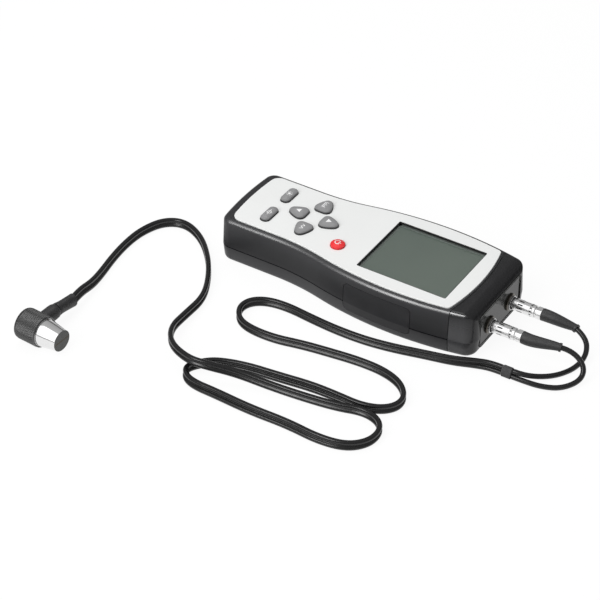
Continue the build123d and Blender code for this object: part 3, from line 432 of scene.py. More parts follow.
# %% Finishes of the keys
key_rubber = new_finish("key_rubber", gloss=(0.5, 0.6, 2), grain=(0.01, 0.2),
                        heights=[(26.0, 36), (27.2, 52), (27.7, 128), (28.6, 146)])
red_rubber = new_finish("red_rubber", gloss=(0.36, 0.46, 2), tones=((234, 40, 45), (241, 48, 51), 2),
                        grain=(0.008, 0.2))
sign_white = new_finish("sign_white", gloss=[0.5], tones=((240, 240, 240), (248, 248, 248), 0.6),
                        grain=(0.005, 0.2))
print(len(bpy.data.materials), "finishes so far")

# %% [markdown]
# ## Metal and rubber at the socket end
#
# Sockets and plugs are nickel and chrome over brass, polished on a lathe. Fine rings from the tool
# could be modelled, but they are thinner than a hair. Noise squeezed along the axis, which runs
# along Y, gives the same streaks. The rubber of the boots is matt, and that of the cords glossy.

# %% Finishes of plugs, boots and cords
plug_chrome = new_finish("plug_chrome", gloss=(0.2, 0.28, 2), tones=[(236, 236, 236)], metallic=1.0,
                         grain=(0.001, 2, 2.0, (1.0, 2.0, 1.0)))
socket_chrome = new_finish("socket_chrome", gloss=(0.08, 0.16, 1), tones=[(214, 214, 214)], metallic=1.0,
                           grain=(0.0005, 2))
dark_metal = new_finish("dark_metal", gloss=(0.2, 0.3, 2), tones=[(88, 84, 78)], metallic=1.0,
                        grain=(0.001, 0.4))
# A dark finish that paints the shade inside recesses: within the socket rims and in the slots and pits of the
# latch sleeves.
socket_shadow = new_finish("socket_shadow", gloss=[0.5], tones=((40, 40, 40), (54, 54, 54), 1), metallic=0.6,
                           grain=(0.004, 0.3))
boot_rubber = new_finish("boot_rubber", gloss=(0.46, 0.58, 2), tones=((37, 37, 38), (43, 43, 44), 4),
                         grain=(0.02, 0.3))
cord_rubber = new_finish("cord_rubber", gloss=(0.24, 0.3, 3), tones=((20, 20, 21), (25, 25, 26), 10),
                         grain=(0.001, 1), Specular_IOR_Level=0.5)
print(len(bpy.data.materials), "finishes so far")

# %% [markdown]
# ## Probe
#
# The cone is polished chrome over steel, the cap black cast metal, and the wearing face two half
# discs of dark resin with cork between them. A shrunk sleeve has long dull waves, which a coarser
# noise gives without a single face more.

# %% Finishes of the probe
cone_chrome = new_finish("cone_chrome", gloss=(0.07, 0.14, 1.5, 3.0, (1.0, 6.0, 1.0)),
                         tones=[(232, 232, 232)], metallic=1.0, grain=(0.001, 3))
grip_black = new_finish("grip_black", gloss=(0.26, 0.4, 1), tones=((18, 18, 18), (30, 30, 30), 2),
                        grain=(0.03, 0.3), Specular_IOR_Level=0.9)
wearing_resin = new_finish("wearing_resin", gloss=(0.24, 0.38, 0.8), tones=((48, 49, 46), (56, 57, 54), 2),
                           grain=(0.006, 0.3))
shrink_sleeve = new_finish("shrink_sleeve", gloss=(0.42, 0.58, 2), tones=((32, 32, 33), (40, 40, 41), 3),
                           grain=(0.15, 1.5, 3.0))
cork = new_finish("cork", gloss=[0.8], tones=((60, 53, 43), (112, 101, 82), 0.4, 4.0), grain=(0.04, 0.3))
silvered_ceramic = new_finish("silvered_ceramic", gloss=[0.3], tones=((204, 198, 184), (222, 216, 203), 1))
cast_resin = new_finish("cast_resin", gloss=[0.6], tones=((70, 67, 62), (112, 107, 100), 0.6, 4.0))
print(len(bpy.data.materials), "finishes so far")

# %% [markdown]
# ## Inside
#
# The pieces inside show only when the case is opened, yet each gets the finish of the real thing.
# The tracks of the board and the turns of the coil could be modelled one by one. Nobody would see
# them, so stretched noise stands for both.

# %% Finishes of the pieces inside
tracks = (1.5, 0.0, (1.0, 4.0, 1.0))
turns = (0.3, 1.0, (0.1, 0.1, 4.0))
sharp_ends = (0.48, 0.52)
solder_mask = new_finish("solder_mask", gloss=[0.32], grain=(0.02, *tracks),
                         tones=((20, 84, 48), (28, 108, 62), *tracks, sharp_ends))
chip_epoxy = new_finish("chip_epoxy", gloss=[0.6], tones=((25, 25, 26), (32, 32, 33), 0.5),
                        grain=(0.008, 0.1))
coil_wire = new_finish("coil_wire", gloss=[0.3], tones=((140, 70, 34), (206, 118, 62), *turns),
                       grain=(0.04, *turns), metallic=1.0)
mat_rubber = new_finish("mat_rubber", gloss=[0.6], tones=((166, 166, 164), (174, 174, 172), 4),
                        grain=(0.01, 0.3))
cell_sleeve = new_finish("cell_sleeve", gloss=(0.22, 0.34, 4), tones=((78, 82, 90), (92, 96, 104), 20),
                         metallic=0.6)
plated_steel = new_finish("plated_steel", gloss=(0.2, 0.36, 1), tones=[(196, 194, 188)], metallic=1.0,
                          grain=(0.004, 0.3))
black_steel = new_finish("black_steel", gloss=(0.28, 0.46, 0.8), tones=[(62, 62, 64)], metallic=1.0,
                         grain=(0.006, 0.2))
print(len(bpy.data.materials), "finishes in all")

# %% [markdown]
# ## Modelling by hand
#
# Every new piece starts as a primitive and is shaped in edit mode, as by hand. Its corners could be
# written down as numbers instead, but the steps of a maker are easier to follow and to change. An
# operator acts on what is selected, so one helper clears the selection before a primitive comes in,
# and another selects faces or edges by where they are. A turned form is a circle drawn out ring by
# ring.

# %% Helpers that select and finish
def start_editing():
    """Opens the active piece for editing, with all of it selected."""
    bpy.ops.object.mode_set(mode="EDIT")
    bpy.ops.mesh.select_all(action="SELECT")


def stop_editing():
    """Leaves edit mode."""
    bpy.ops.object.mode_set(mode="OBJECT")


def select_parts(piece, kind, test):
    """Opens a piece for editing with only those faces or edges selected that pass a test."""
    stop_editing()
    mesh = piece.data
    bpy.context.tool_settings.mesh_select_mode = (False, kind == "EDGE", kind == "FACE")
    for parts in (mesh.vertices, mesh.edges, mesh.polygons):
        parts.foreach_set("select", [False] * len(parts))
    if kind == "FACE":
        for face in mesh.polygons:
            face.select = test(face)
    else:
        for edge in mesh.edges:
            edge.select = test(*(mesh.vertices[number].co for number in edge.vertices))
    bpy.ops.object.mode_set(mode="EDIT")


def merge_doubles(reach=0.005):
    """Merges the selected corners that lie within that many millimetres of each other."""
    bpy.ops.mesh.remove_doubles(threshold=reach * millimetre)


def turn_outwards():
    """Points every face of the active piece outwards."""
    start_editing()
    bpy.ops.mesh.normals_make_consistent(inside=False)
    stop_editing()


def settle(piece, place=None, smooth=30):
    """Puts a finished piece in its place, in its mesh, and smooths its edges up to that many degrees."""
    stop_editing()
    if place:
        piece.matrix_world = place
    bpy.ops.object.transform_apply(location=True, rotation=True, scale=True)
    turn_outwards()
    bpy.ops.object.shade_smooth_by_angle(angle=math.radians(smooth))


# %% Helpers that start and draw out a form
def start_block(name, add_primitive, size, place=(0.0, 0.0, 0.0), turn=0.0):
    """A cube or plane stretched to a size, turned by degrees and put at a place, all in metres."""
    bpy.ops.object.select_all(action="DESELECT")
    add_primitive(size=1.0, location=place)
    piece = bpy.context.object
    piece.name = name
    piece.scale = size
    piece.rotation_euler = (0.0, 0.0, math.radians(turn))
    bpy.ops.object.transform_apply(location=True, rotation=True, scale=True)
    return piece


def extrude_up(rise):
    """Extrudes what is selected along Z, in millimetres."""
    bpy.ops.mesh.extrude_region_move(TRANSFORM_OT_translate={"value": (0, 0, rise * millimetre)})


def start_ring(name, ring, sides, fill_type="NGON"):
    """A first ring: a circle at a height with one or two half widths, all in millimetres."""
    height, *halves = ring
    bpy.ops.object.select_all(action="DESELECT")
    bpy.ops.mesh.primitive_circle_add(vertices=sides, radius=halves[0] * millimetre, fill_type=fill_type,
                                      location=(0, 0, height * millimetre))
    piece = bpy.context.object
    piece.name = name
    bpy.ops.object.transform_apply(location=True)
    bpy.context.tool_settings.mesh_select_mode = (True, False, False)
    start_editing()
    bpy.ops.transform.resize(value=(1.0, halves[-1] / halves[0], 1.0), center_override=(0, 0, 0))
    return piece


def draw_on(rings):
    """Extrudes the selected ring on through the next rings; the first ring says where it is now."""
    for (height, *halves), (next_height, *next_halves) in zip(rings, rings[1:]):
        extrude_up(next_height - height)
        bpy.ops.transform.resize(value=(next_halves[0] / halves[0], next_halves[-1] / halves[-1], 1.0),
                                 center_override=(0, 0, next_height * millimetre))


def turned_form(name, rings, sides, fill_type="NOTHING"):
    """A form that is drawn out from its first ring to its last."""
    piece = start_ring(name, rings[0], sides, fill_type)
    draw_on(rings)
    return piece


# %% Helpers that dress and declare
def dress(piece, finish):
    """Puts one finish on the whole of a piece."""
    piece.data.materials.clear()
    piece.data.materials.append(finish)


def dress_some(piece, finish, test):
    """Puts a second finish on those faces of a piece that pass a test."""
    piece.data.materials.append(finish)
    select_parts(piece, "FACE", test)
    piece.active_material_index = len(piece.data.materials) - 1
    bpy.ops.object.material_slot_assign()
    stop_editing()


def declare(piece, body, slot, finish, *replaced):
    """Hangs a piece from the body that carries it, hides the solids that it stands for and gives it its
    finish.
    """
    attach(piece, body)
    if replaced:
        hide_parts(*replaced)
    dress(piece, finish)
    print(piece.name, "has", len(piece.data.polygons), "faces")


# %% [markdown]
# ## Places for turned forms
#
# A turned form is modelled upright, round the Z axis, and then laid down by one matrix. It could be
# modelled lying down, but then every step would need slanted directions. The probe lies on its
# side: its contact face is at height 0, and its cap below it.

# %% Frames of the probe and of any straight piece
probe_face_middle = Vector((0.1288, -0.0975, 0.00824))
probe_turn = math.radians(85.9)
probe_ahead = Vector((math.cos(probe_turn), math.sin(probe_turn), 0.0))
upright = Vector((0.0, 0.0, 1.0))
probe_side = probe_ahead.cross(upright)


def frame_at(origin, along):
    """A frame with Z along a direction and X as near to upright as that allows."""
    z_axis = along.normalized()
    x_axis = (upright - upright.dot(z_axis) * z_axis).normalized()
    turn = Matrix((x_axis, z_axis.cross(x_axis), z_axis)).transposed()
    return Matrix.Translation(origin) @ turn.to_4x4()


def box_of(node):
    """The lowest and the highest corner of a solid."""
    low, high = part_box(node)
    return Vector(low), Vector(high)


probe_place = frame_at(probe_face_middle, probe_ahead)
print("probe lies along", tuple(round(v, 3) for v in probe_ahead))

# %% [markdown]
# ## Knurled cap
#
# A knurling wheel presses crossed grooves into the cap, which leaves rows of small pyramids. A bump
# pattern would look flat at the edge of the cap, so the pyramids are real. The wall is a circle
# extruded in steps, each turned by half a pitch, so its corners are staggered. Cutting the faces
# into triangles and dissolving the edges that run round the cap leaves diamonds, and poking each
# diamond lifts its middle into a pyramid.

# %% Staggered wall of the cap
cap_radius = 8.24
cap_front = -11.0
cap_back = -24.3
knurl_height = 0.2
knurl_count = 60
knurl_rows = 15
wall_radius = cap_radius - knurl_height
wall_low = cap_back + 0.8
wall_high = cap_front - 0.5
row_height = (wall_high - wall_low) / knurl_rows
knurled_cap = start_ring("knurled_cap", (wall_low, wall_radius), knurl_count, "NOTHING")
for row in range(knurl_rows):
    extrude_up(row_height)
    bpy.ops.transform.rotate(value=math.pi / knurl_count, orient_axis="Z", center_override=(0, 0, 0))
bpy.ops.mesh.select_all(action="SELECT")
bpy.ops.mesh.quads_convert_to_tris(quad_method="SHORTEST_DIAGONAL")
print("a wall of", knurl_rows, "rows with", knurl_count, "corners each")

# %% Diamonds and pyramids
nearly = 0.02 * millimetre
low_edge = wall_low * millimetre + nearly
high_edge = wall_high * millimetre - nearly
select_parts(knurled_cap, "EDGE", lambda a, b: abs(a.z - b.z) < nearly and low_edge < a.z < high_edge)
bpy.ops.mesh.dissolve_edges(use_verts=False)
turn_outwards()
select_parts(knurled_cap, "FACE", lambda face: len(face.vertices) == 4)
bpy.ops.mesh.poke(offset=knurl_height * millimetre)
print("a pyramid", knurl_height, "mm high on each diamond")

# %% Rounded back of the cap, with a shallow dish, and the lip and bore of its front
cap_back_rings = [(wall_low, wall_radius), (cap_back + 0.5, 8.0), (cap_back + 0.2, 7.84),
                  (cap_back + 0.04, 7.6), (cap_back, 7.3), (cap_back, 5.9), (cap_back + 0.3, 5.6),
                  (cap_back + 0.3, 1.0)]
cap_mouth_rings = [(wall_high, wall_radius), (cap_front - 0.15, 8.06), (cap_front, 7.9), (cap_front, 7.5),
                   (cap_front - 0.15, 7.36), (cap_front - 11.0, 7.36), (cap_front - 11.0, 1.0)]
select_parts(knurled_cap, "EDGE", lambda a, b: max(a.z, b.z) < low_edge)
draw_on(cap_back_rings)
bpy.ops.mesh.edge_face_add()
select_parts(knurled_cap, "EDGE", lambda a, b: min(a.z, b.z) > high_edge)
draw_on(cap_mouth_rings)
bpy.ops.mesh.edge_face_add()
settle(knurled_cap, probe_place, smooth=20)
declare(knurled_cap, "gauge", "probe_cap", grip_black, "probe_cap")

# %% [markdown]
# ## Elbow and sleeve of the probe
#
# A moulded elbow comes out of the side of the cap. A heat-shrunk sleeve grips it and the cable: it
# dips behind the elbow and flares where its free end has curled. A bent tube could join them, but
# on the real one each is straight. Both are circles drawn out along the cable, and the sleeve is
# taller than wide towards the twin cable.

# %% Moulded elbow
elbow_back = 18.2
elbow_place = frame_at(probe_face_middle - probe_ahead * elbow_back * millimetre, -probe_side)
elbow_rings = [(5.5, 3.9), (13.6, 3.95), (15.2, 3.86), (16.3, 3.5), (16.95, 2.9), (17.2, 2.2)]
probe_elbow = turned_form("probe_elbow", elbow_rings, sides=40, fill_type="NGON")
settle(probe_elbow, elbow_place, smooth=50)
declare(probe_elbow, "gauge", "boot", boot_rubber, "probe_boot")

# %% Heat-shrunk sleeve
sleeve_height = 16.6
sleeve_start = elbow_place @ Vector((0, 0, sleeve_height * millimetre))
cable_start = Vector(twin_cable_points[0])
sleeve_place = frame_at(sleeve_start, cable_start - sleeve_start)
sleeve_rings = [(0.0, 3.3, 3.2), (0.35, 3.42, 3.34), (1.2, 3.4, 3.28), (2.4, 3.28, 3.1), (4.2, 3.26, 2.98),
                (6.2, 3.34, 2.92), (8.2, 3.44, 2.9), (10.2, 3.5, 2.9), (11.6, 3.54, 2.92),
                (12.2, 3.62, 3.0), (12.5, 3.58, 2.95), (12.55, 3.4, 2.8), (12.45, 2.95, 1.7)]
shrunk_sleeve = turned_form("shrunk_sleeve", sleeve_rings, sides=40, fill_type="NGON")
settle(shrunk_sleeve, sleeve_place, smooth=60)
declare(shrunk_sleeve, "gauge", "boot", shrink_sleeve, "cable_wrap")

# %% [markdown]
# ## Splitter
#
# The two leads meet in a small block that is moulded round them. It could be cut from a sphere, but
# it has flat sides. So a cube is stretched, its long edges are rounded, and each end steps in to a
# short collar. It leans over with the cable.

# %% Splitter block
splitter_middle = Vector((0.0287, 0.0938, 0.0032))
splitter_lean = math.radians(58.0)
splitter_size = Vector((5.9, 5.6, 3.2)) * millimetre
splitter_block = start_block("splitter_block", bpy.ops.mesh.primitive_cube_add, splitter_size)
select_parts(splitter_block, "EDGE", lambda a, b: abs(a.y - b.y) > 3 * millimetre)
bpy.ops.mesh.bevel(offset=1.5 * millimetre, segments=6)
select_parts(splitter_block, "FACE", lambda face: abs(face.normal.y) > 0.9)
bpy.ops.transform.resize(value=(1.0, 0.82, 1.0))
bpy.ops.mesh.inset(thickness=0.25 * millimetre, depth=0.12 * millimetre)
bpy.ops.mesh.extrude_region_shrink_fatten(TRANSFORM_OT_shrink_fatten={"value": -0.45 * millimetre})
splitter_place = Matrix.Translation(splitter_middle) @ Matrix.Rotation(splitter_lean, 4, "Y")
settle(splitter_block, splitter_place, smooth=40)
declare(splitter_block, "gauge", "boot", boot_rubber, "lead_splitter")

# %% [markdown]
# ## Polished cone
#
# The metal cone holds the wearing face. The solid cone has the right shape, but chrome shows every
# flat of its mesh as a jag in its reflections. So the cone is drawn again from a circle with many
# sides and shaded smooth. Its narrow end is a thin dark lip of resin round the wearing face, which
# is a second finish on one ring of faces.

# %% Cone and its collar
cone_rings = [(0.0, 5.31), (0.0, 5.6), (-0.06, 5.66), (-2.0, 5.95), (-5.5, 6.5), (-9.0, 6.98), (-10.92, 7.15),
              (-11.0, 7.15), (-11.0, 7.25), (-11.05, 7.29), (-13.9, 7.29), (-13.9, 5.31), (0.0, 5.31)]
cone = turned_form("polished_cone", cone_rings, sides=96)
bpy.ops.mesh.select_all(action="SELECT")
merge_doubles()
settle(cone, probe_place)
declare(cone, "gauge", "probe_metal", cone_chrome, "probe_body")
face_level = probe_face_middle.dot(probe_ahead)
dress_some(cone, wearing_resin, lambda face: face.center.dot(probe_ahead) > face_level - nearly)

# %% [markdown]
# ## Rims of the sockets
#
# From the front, a socket is a thin bright rim with a dark recess sunk inside it. The rim could be
# bevelled on the solid, but a solid is never changed here. It is one tube instead, drawn from the
# bottom of its bore forward, over the rim and back along its barrel. Its inner wall, where it dips
# into the recess, gets a dark finish: painted shade.

# %% Both sockets
socket_rings = [(-8.5, 2.56), (-0.6, 2.56), (-0.6, 3.1), (-0.55, 3.22), (-0.1, 3.36), (0.0, 3.46),
                (0.0, 3.66), (-0.09, 3.75), (-0.9, 3.75), (-0.9, 3.1), (-13.9, 3.1)]
for use in near_and_far:
    low, high = box_of(f"socket_{use}")
    socket_front = (low + high) / 2
    socket_front.y = high.y
    rim = turned_form(f"socket_rim_{use}", socket_rings, sides=72)
    bpy.ops.mesh.select_all(action="SELECT")
    bpy.ops.mesh.fill_holes(sides=0)
    settle(rim, frame_at(socket_front, Vector((0, 1, 0))))
    declare(rim, "gauge", "socket", socket_chrome, f"socket_{use}")
    # Painted shade on the inner wall of the rim, where it dips into the socket.
    dress_some(rim, socket_shadow, lambda face: -0.7 < (face.center.y - socket_front.y) / millimetre < -0.2
               and (face.center - socket_front).length < 3.4 * millimetre)

# %% [markdown]
# ## Latch sleeves of the plugs
#
# Pulling the outer sleeve back releases a plug. The sleeve is a thin tube with short slots near its
# front and a ring of small pits near its back for the fingers. They could be cut out one by one
# with a boolean, which often leaves ragged edges. Here the tube is a circle drawn out and back
# through itself, and slots and pits are pairs of faces pushed in. Their walls and floors get a dark
# finish that paints the shade inside them.

# %% One latch sleeve, drawn out along Z from its front end
latch_radius = 3.2
latch_bore = 2.7
latch_length = 11.8
latch_sides = 60
slots = (2.6, 5.2)
slot_every = 6
pits = (9.3, 10.0)
pit_every = 5
latch_rings = [(0.0, latch_bore), (0.0, 3.02), (0.18, latch_radius), (1.5, latch_radius), (1.6, 3.12),
               (1.85, 3.12), (1.95, latch_radius), (2.5, latch_radius), (5.3, latch_radius),
               (8.9, latch_radius), (9.05, 3.1), (9.2, latch_radius), (10.1, latch_radius),
               (10.25, 3.1), (10.4, latch_radius), (11.62, latch_radius), (latch_length, 3.02),
               (latch_length, latch_bore), (0.0, latch_bore)]


def outside(face, low, high, step):
    """Whether a face is on the outside between two heights in millimetres, two in each step round it."""
    angle = math.atan2(face.center.y, face.center.x) % math.tau
    return (low < face.center.z / millimetre < high and int(angle / math.tau * latch_sides) % step < 2
            and face.center.xy.length > 3.0 * millimetre)


def latch_sleeve(name):
    """A thin tube with slots and pits."""
    tube = turned_form(name, latch_rings, latch_sides)
    bpy.ops.mesh.select_all(action="SELECT")
    merge_doubles()
    turn_outwards()
    select_parts(tube, "FACE", lambda face: outside(face, *slots, slot_every))
    bpy.ops.mesh.inset(thickness=0.02 * millimetre, depth=-0.38 * millimetre)
    select_parts(tube, "FACE", lambda face: outside(face, *pits, pit_every))
    bpy.ops.mesh.inset(thickness=0.05 * millimetre, depth=-0.4 * millimetre)
    return tube


# %% Both latch sleeves, each on its own sleeve body
def in_a_slot(face, front):
    """Whether a face is in a slot or pit of a sleeve with that front."""
    behind = (face.center.y - front.y) / millimetre
    across = math.hypot(face.center.x - front.x, face.center.z - front.z) / millimetre
    return 2.5 < behind < 10.2 and 2.72 < across < 3.1 and abs(face.normal.y) < 0.9


for use in near_and_far:
    low, high = box_of(f"plug_sleeve_{use}")
    latch_front = (low + high) / 2
    latch_front.y = low.y
    latch = latch_sleeve(f"latch_sleeve_{use}")
    settle(latch, frame_at(latch_front, Vector((0, 1, 0))))
    declare(latch, f"sleeve_{use}", "plug_metal", plug_chrome, f"plug_sleeve_{use}")
    # Painted shade in the slots and pits.
    dress_some(latch, socket_shadow, lambda face: in_a_slot(face, latch_front))

# %% [markdown]
# ## Crowned keys
#
# The rubber keys are not flat: each top swells to a soft crown. A new key could be drawn from
# scratch, but a copy of the solid key keeps the outline and the flange. Its doubles are merged and
# its flat triangles joined, and the top is lowered a little. Then the flat top, now one face, is
# extruded in steps that draw in and rise less each time. Drawing in towards the middle is safe
# where an inset would cross itself.

# %% One crowned key
key_above_flange = 0.78 * millimetre
crown_drop = 0.5 * millimetre
flat_margin = 0.05 * millimetre
crown_steps = [(0.14, 0.13), (0.32, 0.13), (0.54, 0.11), (0.76, 0.07), (0.92, 0.03)]
crowned_names = ("key_up", "key_down", "key_units", "key_velocity", "key_backlight", "key_calibrate")


def flat_top(piece):
    """The middle and half widths of what is selected on a piece."""
    stop_editing()
    corners = [vertex.co.copy() for vertex in piece.data.vertices if vertex.select]
    bpy.ops.object.mode_set(mode="EDIT")
    middle = sum(corners, Vector()) / len(corners)
    half_x = max(abs(corner.x - middle.x) for corner in corners)
    half_y = max(abs(corner.y - middle.y) for corner in corners)
    return middle, half_x, half_y


def crowned_key(name):
    """A copy of a key whose top is drawn up to a crown."""
    solid_top = box_of(name)[1].z
    bpy.ops.object.select_all(action="DESELECT")
    piece = put_in_scene(f"{name}_crowned", nodes[name].data.copy())
    bpy.context.view_layer.objects.active = piece
    piece.select_set(True)
    start_editing()
    merge_doubles(0.002)
    select_parts(piece, "FACE", lambda face: face.center.z > solid_top - key_above_flange)
    bpy.ops.transform.translate(value=(0, 0, -crown_drop))
    select_parts(piece, "FACE", lambda face: face.normal.z > 0.99
                 and face.center.z > solid_top - crown_drop - flat_margin)
    bpy.ops.mesh.dissolve_faces()
    middle, *halves = flat_top(piece)
    reach = min(halves)
    drawn_in = 0.0
    for share, rise in crown_steps:
        extrude_up(rise)
        shares = [(half - share * reach) / (half - drawn_in * reach) for half in halves]
        bpy.ops.transform.resize(value=(*shares, 1.0), center_override=middle)
        drawn_in = share
    bpy.ops.mesh.poke()
    settle(piece, smooth=50)
    return piece


crowned = {}
for name in crowned_names:
    crowned[name] = crowned_key(name)
    declare(crowned[name], name, "key", key_rubber, name)

# %% [markdown]
# ## Signs on the keys
#
# The signs are printed on rubber, a hair's breadth thick. They could be a pattern in the rubber's
# own material, but an edge that fine needs a picture. So each sign is cut flat from a circle or a
# plane above its key, divided so that it can bend, and dropped onto the crown by a shrinkwrap. A
# thin solidify then gives it its two sides. The two arrowheads and the power sign are those that
# such a gauge has. The other keys get plain signs: ticks of a rule, a wave, a sun and a target.

# %% Flat rings, bars and discs, in millimetres
def flat_ring(name, radius, width, sides=40, gap=0.0):
    """A flat ring round the origin, with a gap towards +Y given in degrees."""
    ring = turned_form(name, [(0.0, radius), (0.0, radius - width)], sides)
    if gap:
        half_gap = math.radians(gap)
        select_parts(ring, "FACE", lambda face: abs(math.atan2(face.center.x, face.center.y)) < half_gap)
        bpy.ops.mesh.delete(type="FACE")
    stop_editing()
    return ring


def flat_bar(name, x, y, width, length, turn=0.0):
    """A flat bar, divided along its length."""
    bar = start_block(name, bpy.ops.mesh.primitive_plane_add, (width * millimetre, length * millimetre, 1.0),
                      (x * millimetre, y * millimetre, 0.0), turn)
    start_editing()
    bpy.ops.mesh.subdivide(number_cuts=3)
    stop_editing()
    return bar


def flat_disc(name, radius, sides):
    """A flat disc or polygon with one corner towards +Y, divided by pokes."""
    disc = start_ring(name, (0.0, radius), sides)
    bpy.ops.mesh.poke()
    bpy.ops.mesh.subdivide(number_cuts=2)
    stop_editing()
    return disc


# %% Helpers that join flat shapes and lay them on a key
sign_clearance = 0.018 * millimetre
sign_thickness = 0.04 * millimetre


def join_into(pieces, name):
    """Joins flat shapes to one piece."""
    bpy.ops.object.select_all(action="DESELECT")
    for piece in pieces:
        piece.select_set(True)
    bpy.context.view_layer.objects.active = pieces[0]
    bpy.ops.object.join()
    pieces[0].name = name
    return pieces[0]


def lay_sign(sign, key_piece, body, turn=0.0, shift=0.0):
    """Turns a sign that is drawn round the origin, puts it over its key and drops it on."""
    low, high = box_of(body)
    middle = (low + high) / 2
    place = Matrix.Translation((middle.x, middle.y + shift * millimetre, high.z))
    sign.matrix_world = place @ Matrix.Rotation(turn, 4, "Z")
    bpy.ops.object.transform_apply(location=True, rotation=True, scale=True)
    drop = sign.modifiers.new("drop", "SHRINKWRAP")
    drop.target = key_piece
    drop.wrap_method = "PROJECT"
    drop.use_project_z = True
    drop.use_negative_direction = True
    drop.use_positive_direction = True
    drop.offset = sign_clearance
    bpy.ops.object.modifier_apply(modifier="drop")
    start_editing()
    merge_doubles(0.002)
    bpy.ops.mesh.normals_make_consistent(inside=False)
    stop_editing()
    if sum(face.normal.z for face in sign.data.polygons) < 0:
        start_editing()
        bpy.ops.mesh.flip_normals()
        stop_editing()
    thicken = sign.modifiers.new("thicken", "SOLIDIFY")
    thicken.thickness = sign_thickness
    thicken.offset = -1.0
    bpy.ops.object.modifier_apply(modifier="thicken")
    turn_outwards()
    declare(sign, body, "panel", sign_white)


# %% Arrowheads and the power sign
for name, turn, shift in (("key_up", 0.0, -0.5), ("key_down", math.pi, 0.5)):
    lay_sign(flat_disc(f"arrowhead_{name}", 1.75, 3), crowned[name], name, turn, shift)
power_shapes = [flat_ring("power_ring", 1.6, 0.42, gap=36.0), flat_bar("power_bar", 0.0, 1.15, 0.4, 1.5)]
lay_sign(join_into(power_shapes, "power_sign"), nodes["key_power"], "key_power")

# %% Ticks of a rule, a wave, a sun and a target
ticks = [flat_bar("tick_base", 0.0, -0.9, 4.4, 0.34)]
for number in range(5):
    length = 1.8 if number % 2 == 0 else 1.2
    ticks.append(flat_bar(f"tick_{number}", (number - 2) * 1.0, length / 2 - 0.8, 0.34, length))
lay_sign(join_into(ticks, "sign_rule"), crowned["key_units"], "key_units")
wave = [flat_bar(f"wave_{number}", (number - 1.5) * 1.0, 0.0, 0.36, 2.0, 30 if number % 2 else -30)
        for number in range(4)]
lay_sign(join_into(wave, "sign_wave"), crowned["key_velocity"], "key_velocity")
sun = [flat_disc("sun_middle", 0.75, 16)]
for number in range(8):
    angle = number * math.tau / 8
    sun.append(flat_bar(f"ray_{number}", math.sin(angle) * 1.4, math.cos(angle) * 1.4, 0.3, 0.7,
                        -math.degrees(angle)))
lay_sign(join_into(sun, "sign_sun"), crowned["key_backlight"], "key_backlight")
target = [flat_ring("target_ring", 1.3, 0.34, 32), flat_bar("target_across", 0.0, 0.0, 4.6, 0.3),
          flat_bar("target_upright", 0.0, 0.0, 0.3, 3.6)]
lay_sign(join_into(target, "sign_target"), crowned["key_calibrate"], "key_calibrate")

# %% [markdown]
# ## Edges of the display
#
# The opening in the white panel is lined by a thin black gasket. Below the clear window, the edge
# of the liquid crystal glass is a pale printed border. A colour pattern on the glass could draw it,
# but it would blur where it meets the gasket. So both are planes with rounded corners, inset to a
# frame and given thickness.

# %% Gasket and printed border
def flat_frame(name, low, high, low_z, width, corner, thickness, place=None):
    """A frame between two corners at a height; its width, rounding and thickness are in millimetres."""
    rim = start_block(name, bpy.ops.mesh.primitive_plane_add, (high[0] - low[0], high[1] - low[1], 1.0),
                      ((low[0] + high[0]) / 2, (low[1] + high[1]) / 2, low_z))
    start_editing()
    bpy.ops.mesh.bevel(offset=corner * millimetre, segments=5, affect="VERTICES")
    bpy.ops.mesh.select_all(action="SELECT")
    bpy.ops.mesh.inset(thickness=width * millimetre)
    bpy.ops.mesh.delete(type="FACE")
    bpy.ops.mesh.select_all(action="SELECT")
    extrude_up(thickness)
    settle(rim, place)
    return rim


hairline = 0.01 * millimetre
lens_margin = Vector((1.6, 1.6, 0.0)) * millimetre
window_low, window_high = box_of("display_window")
gasket = flat_frame("window_gasket", window_low + lens_margin, window_high - lens_margin,
                    window_high.z + hairline, width=0.4, corner=0.8, thickness=1.0)
declare(gasket, "gauge", "case", gasket_black)
glass_low, glass_high = box_of("display_glass")
border = flat_frame("display_border", glass_low, glass_high, glass_high.z + hairline,
                    width=1.9, corner=0.2, thickness=0.04)
declare(border, "gauge", "lcd", border_print)

# %% [markdown]
# ## Edges of the socket plate
#
# The plate that holds the sockets is sunk into the end of the gauge. A dark groove runs round it,
# and the moulded edge of the plate catches the light. Both could be cut into the solids, but they
# are finer than what a solid needs. So the same helper draws two frames, which a matrix stands up
# to face the socket end: a black one flush with the cap, and inside it a lighter grey one on the
# plate, which is a painted highlight of that edge.

# %% Groove and bright edge of the socket plate
groove_width = 0.2
plate_low, plate_high = box_of("socket_plate")
cap_face_y = box_of("end_cap")[1].y


def facing_socket_end(y):
    """A frame whose flat side looks along +Y at that place."""
    return Matrix.Translation((0.0, y, 0.0)) @ Matrix.Rotation(math.pi / 2, 4, "X")


outwards = Vector((groove_width, groove_width)) * millimetre
groove = flat_frame("plate_groove", plate_low.xz - outwards, plate_high.xz + outwards, 0.0,
                    width=groove_width, corner=1.8, thickness=0.3,
                    place=facing_socket_end(cap_face_y + 3 * hairline))
declare(groove, "gauge", "case", gasket_black)
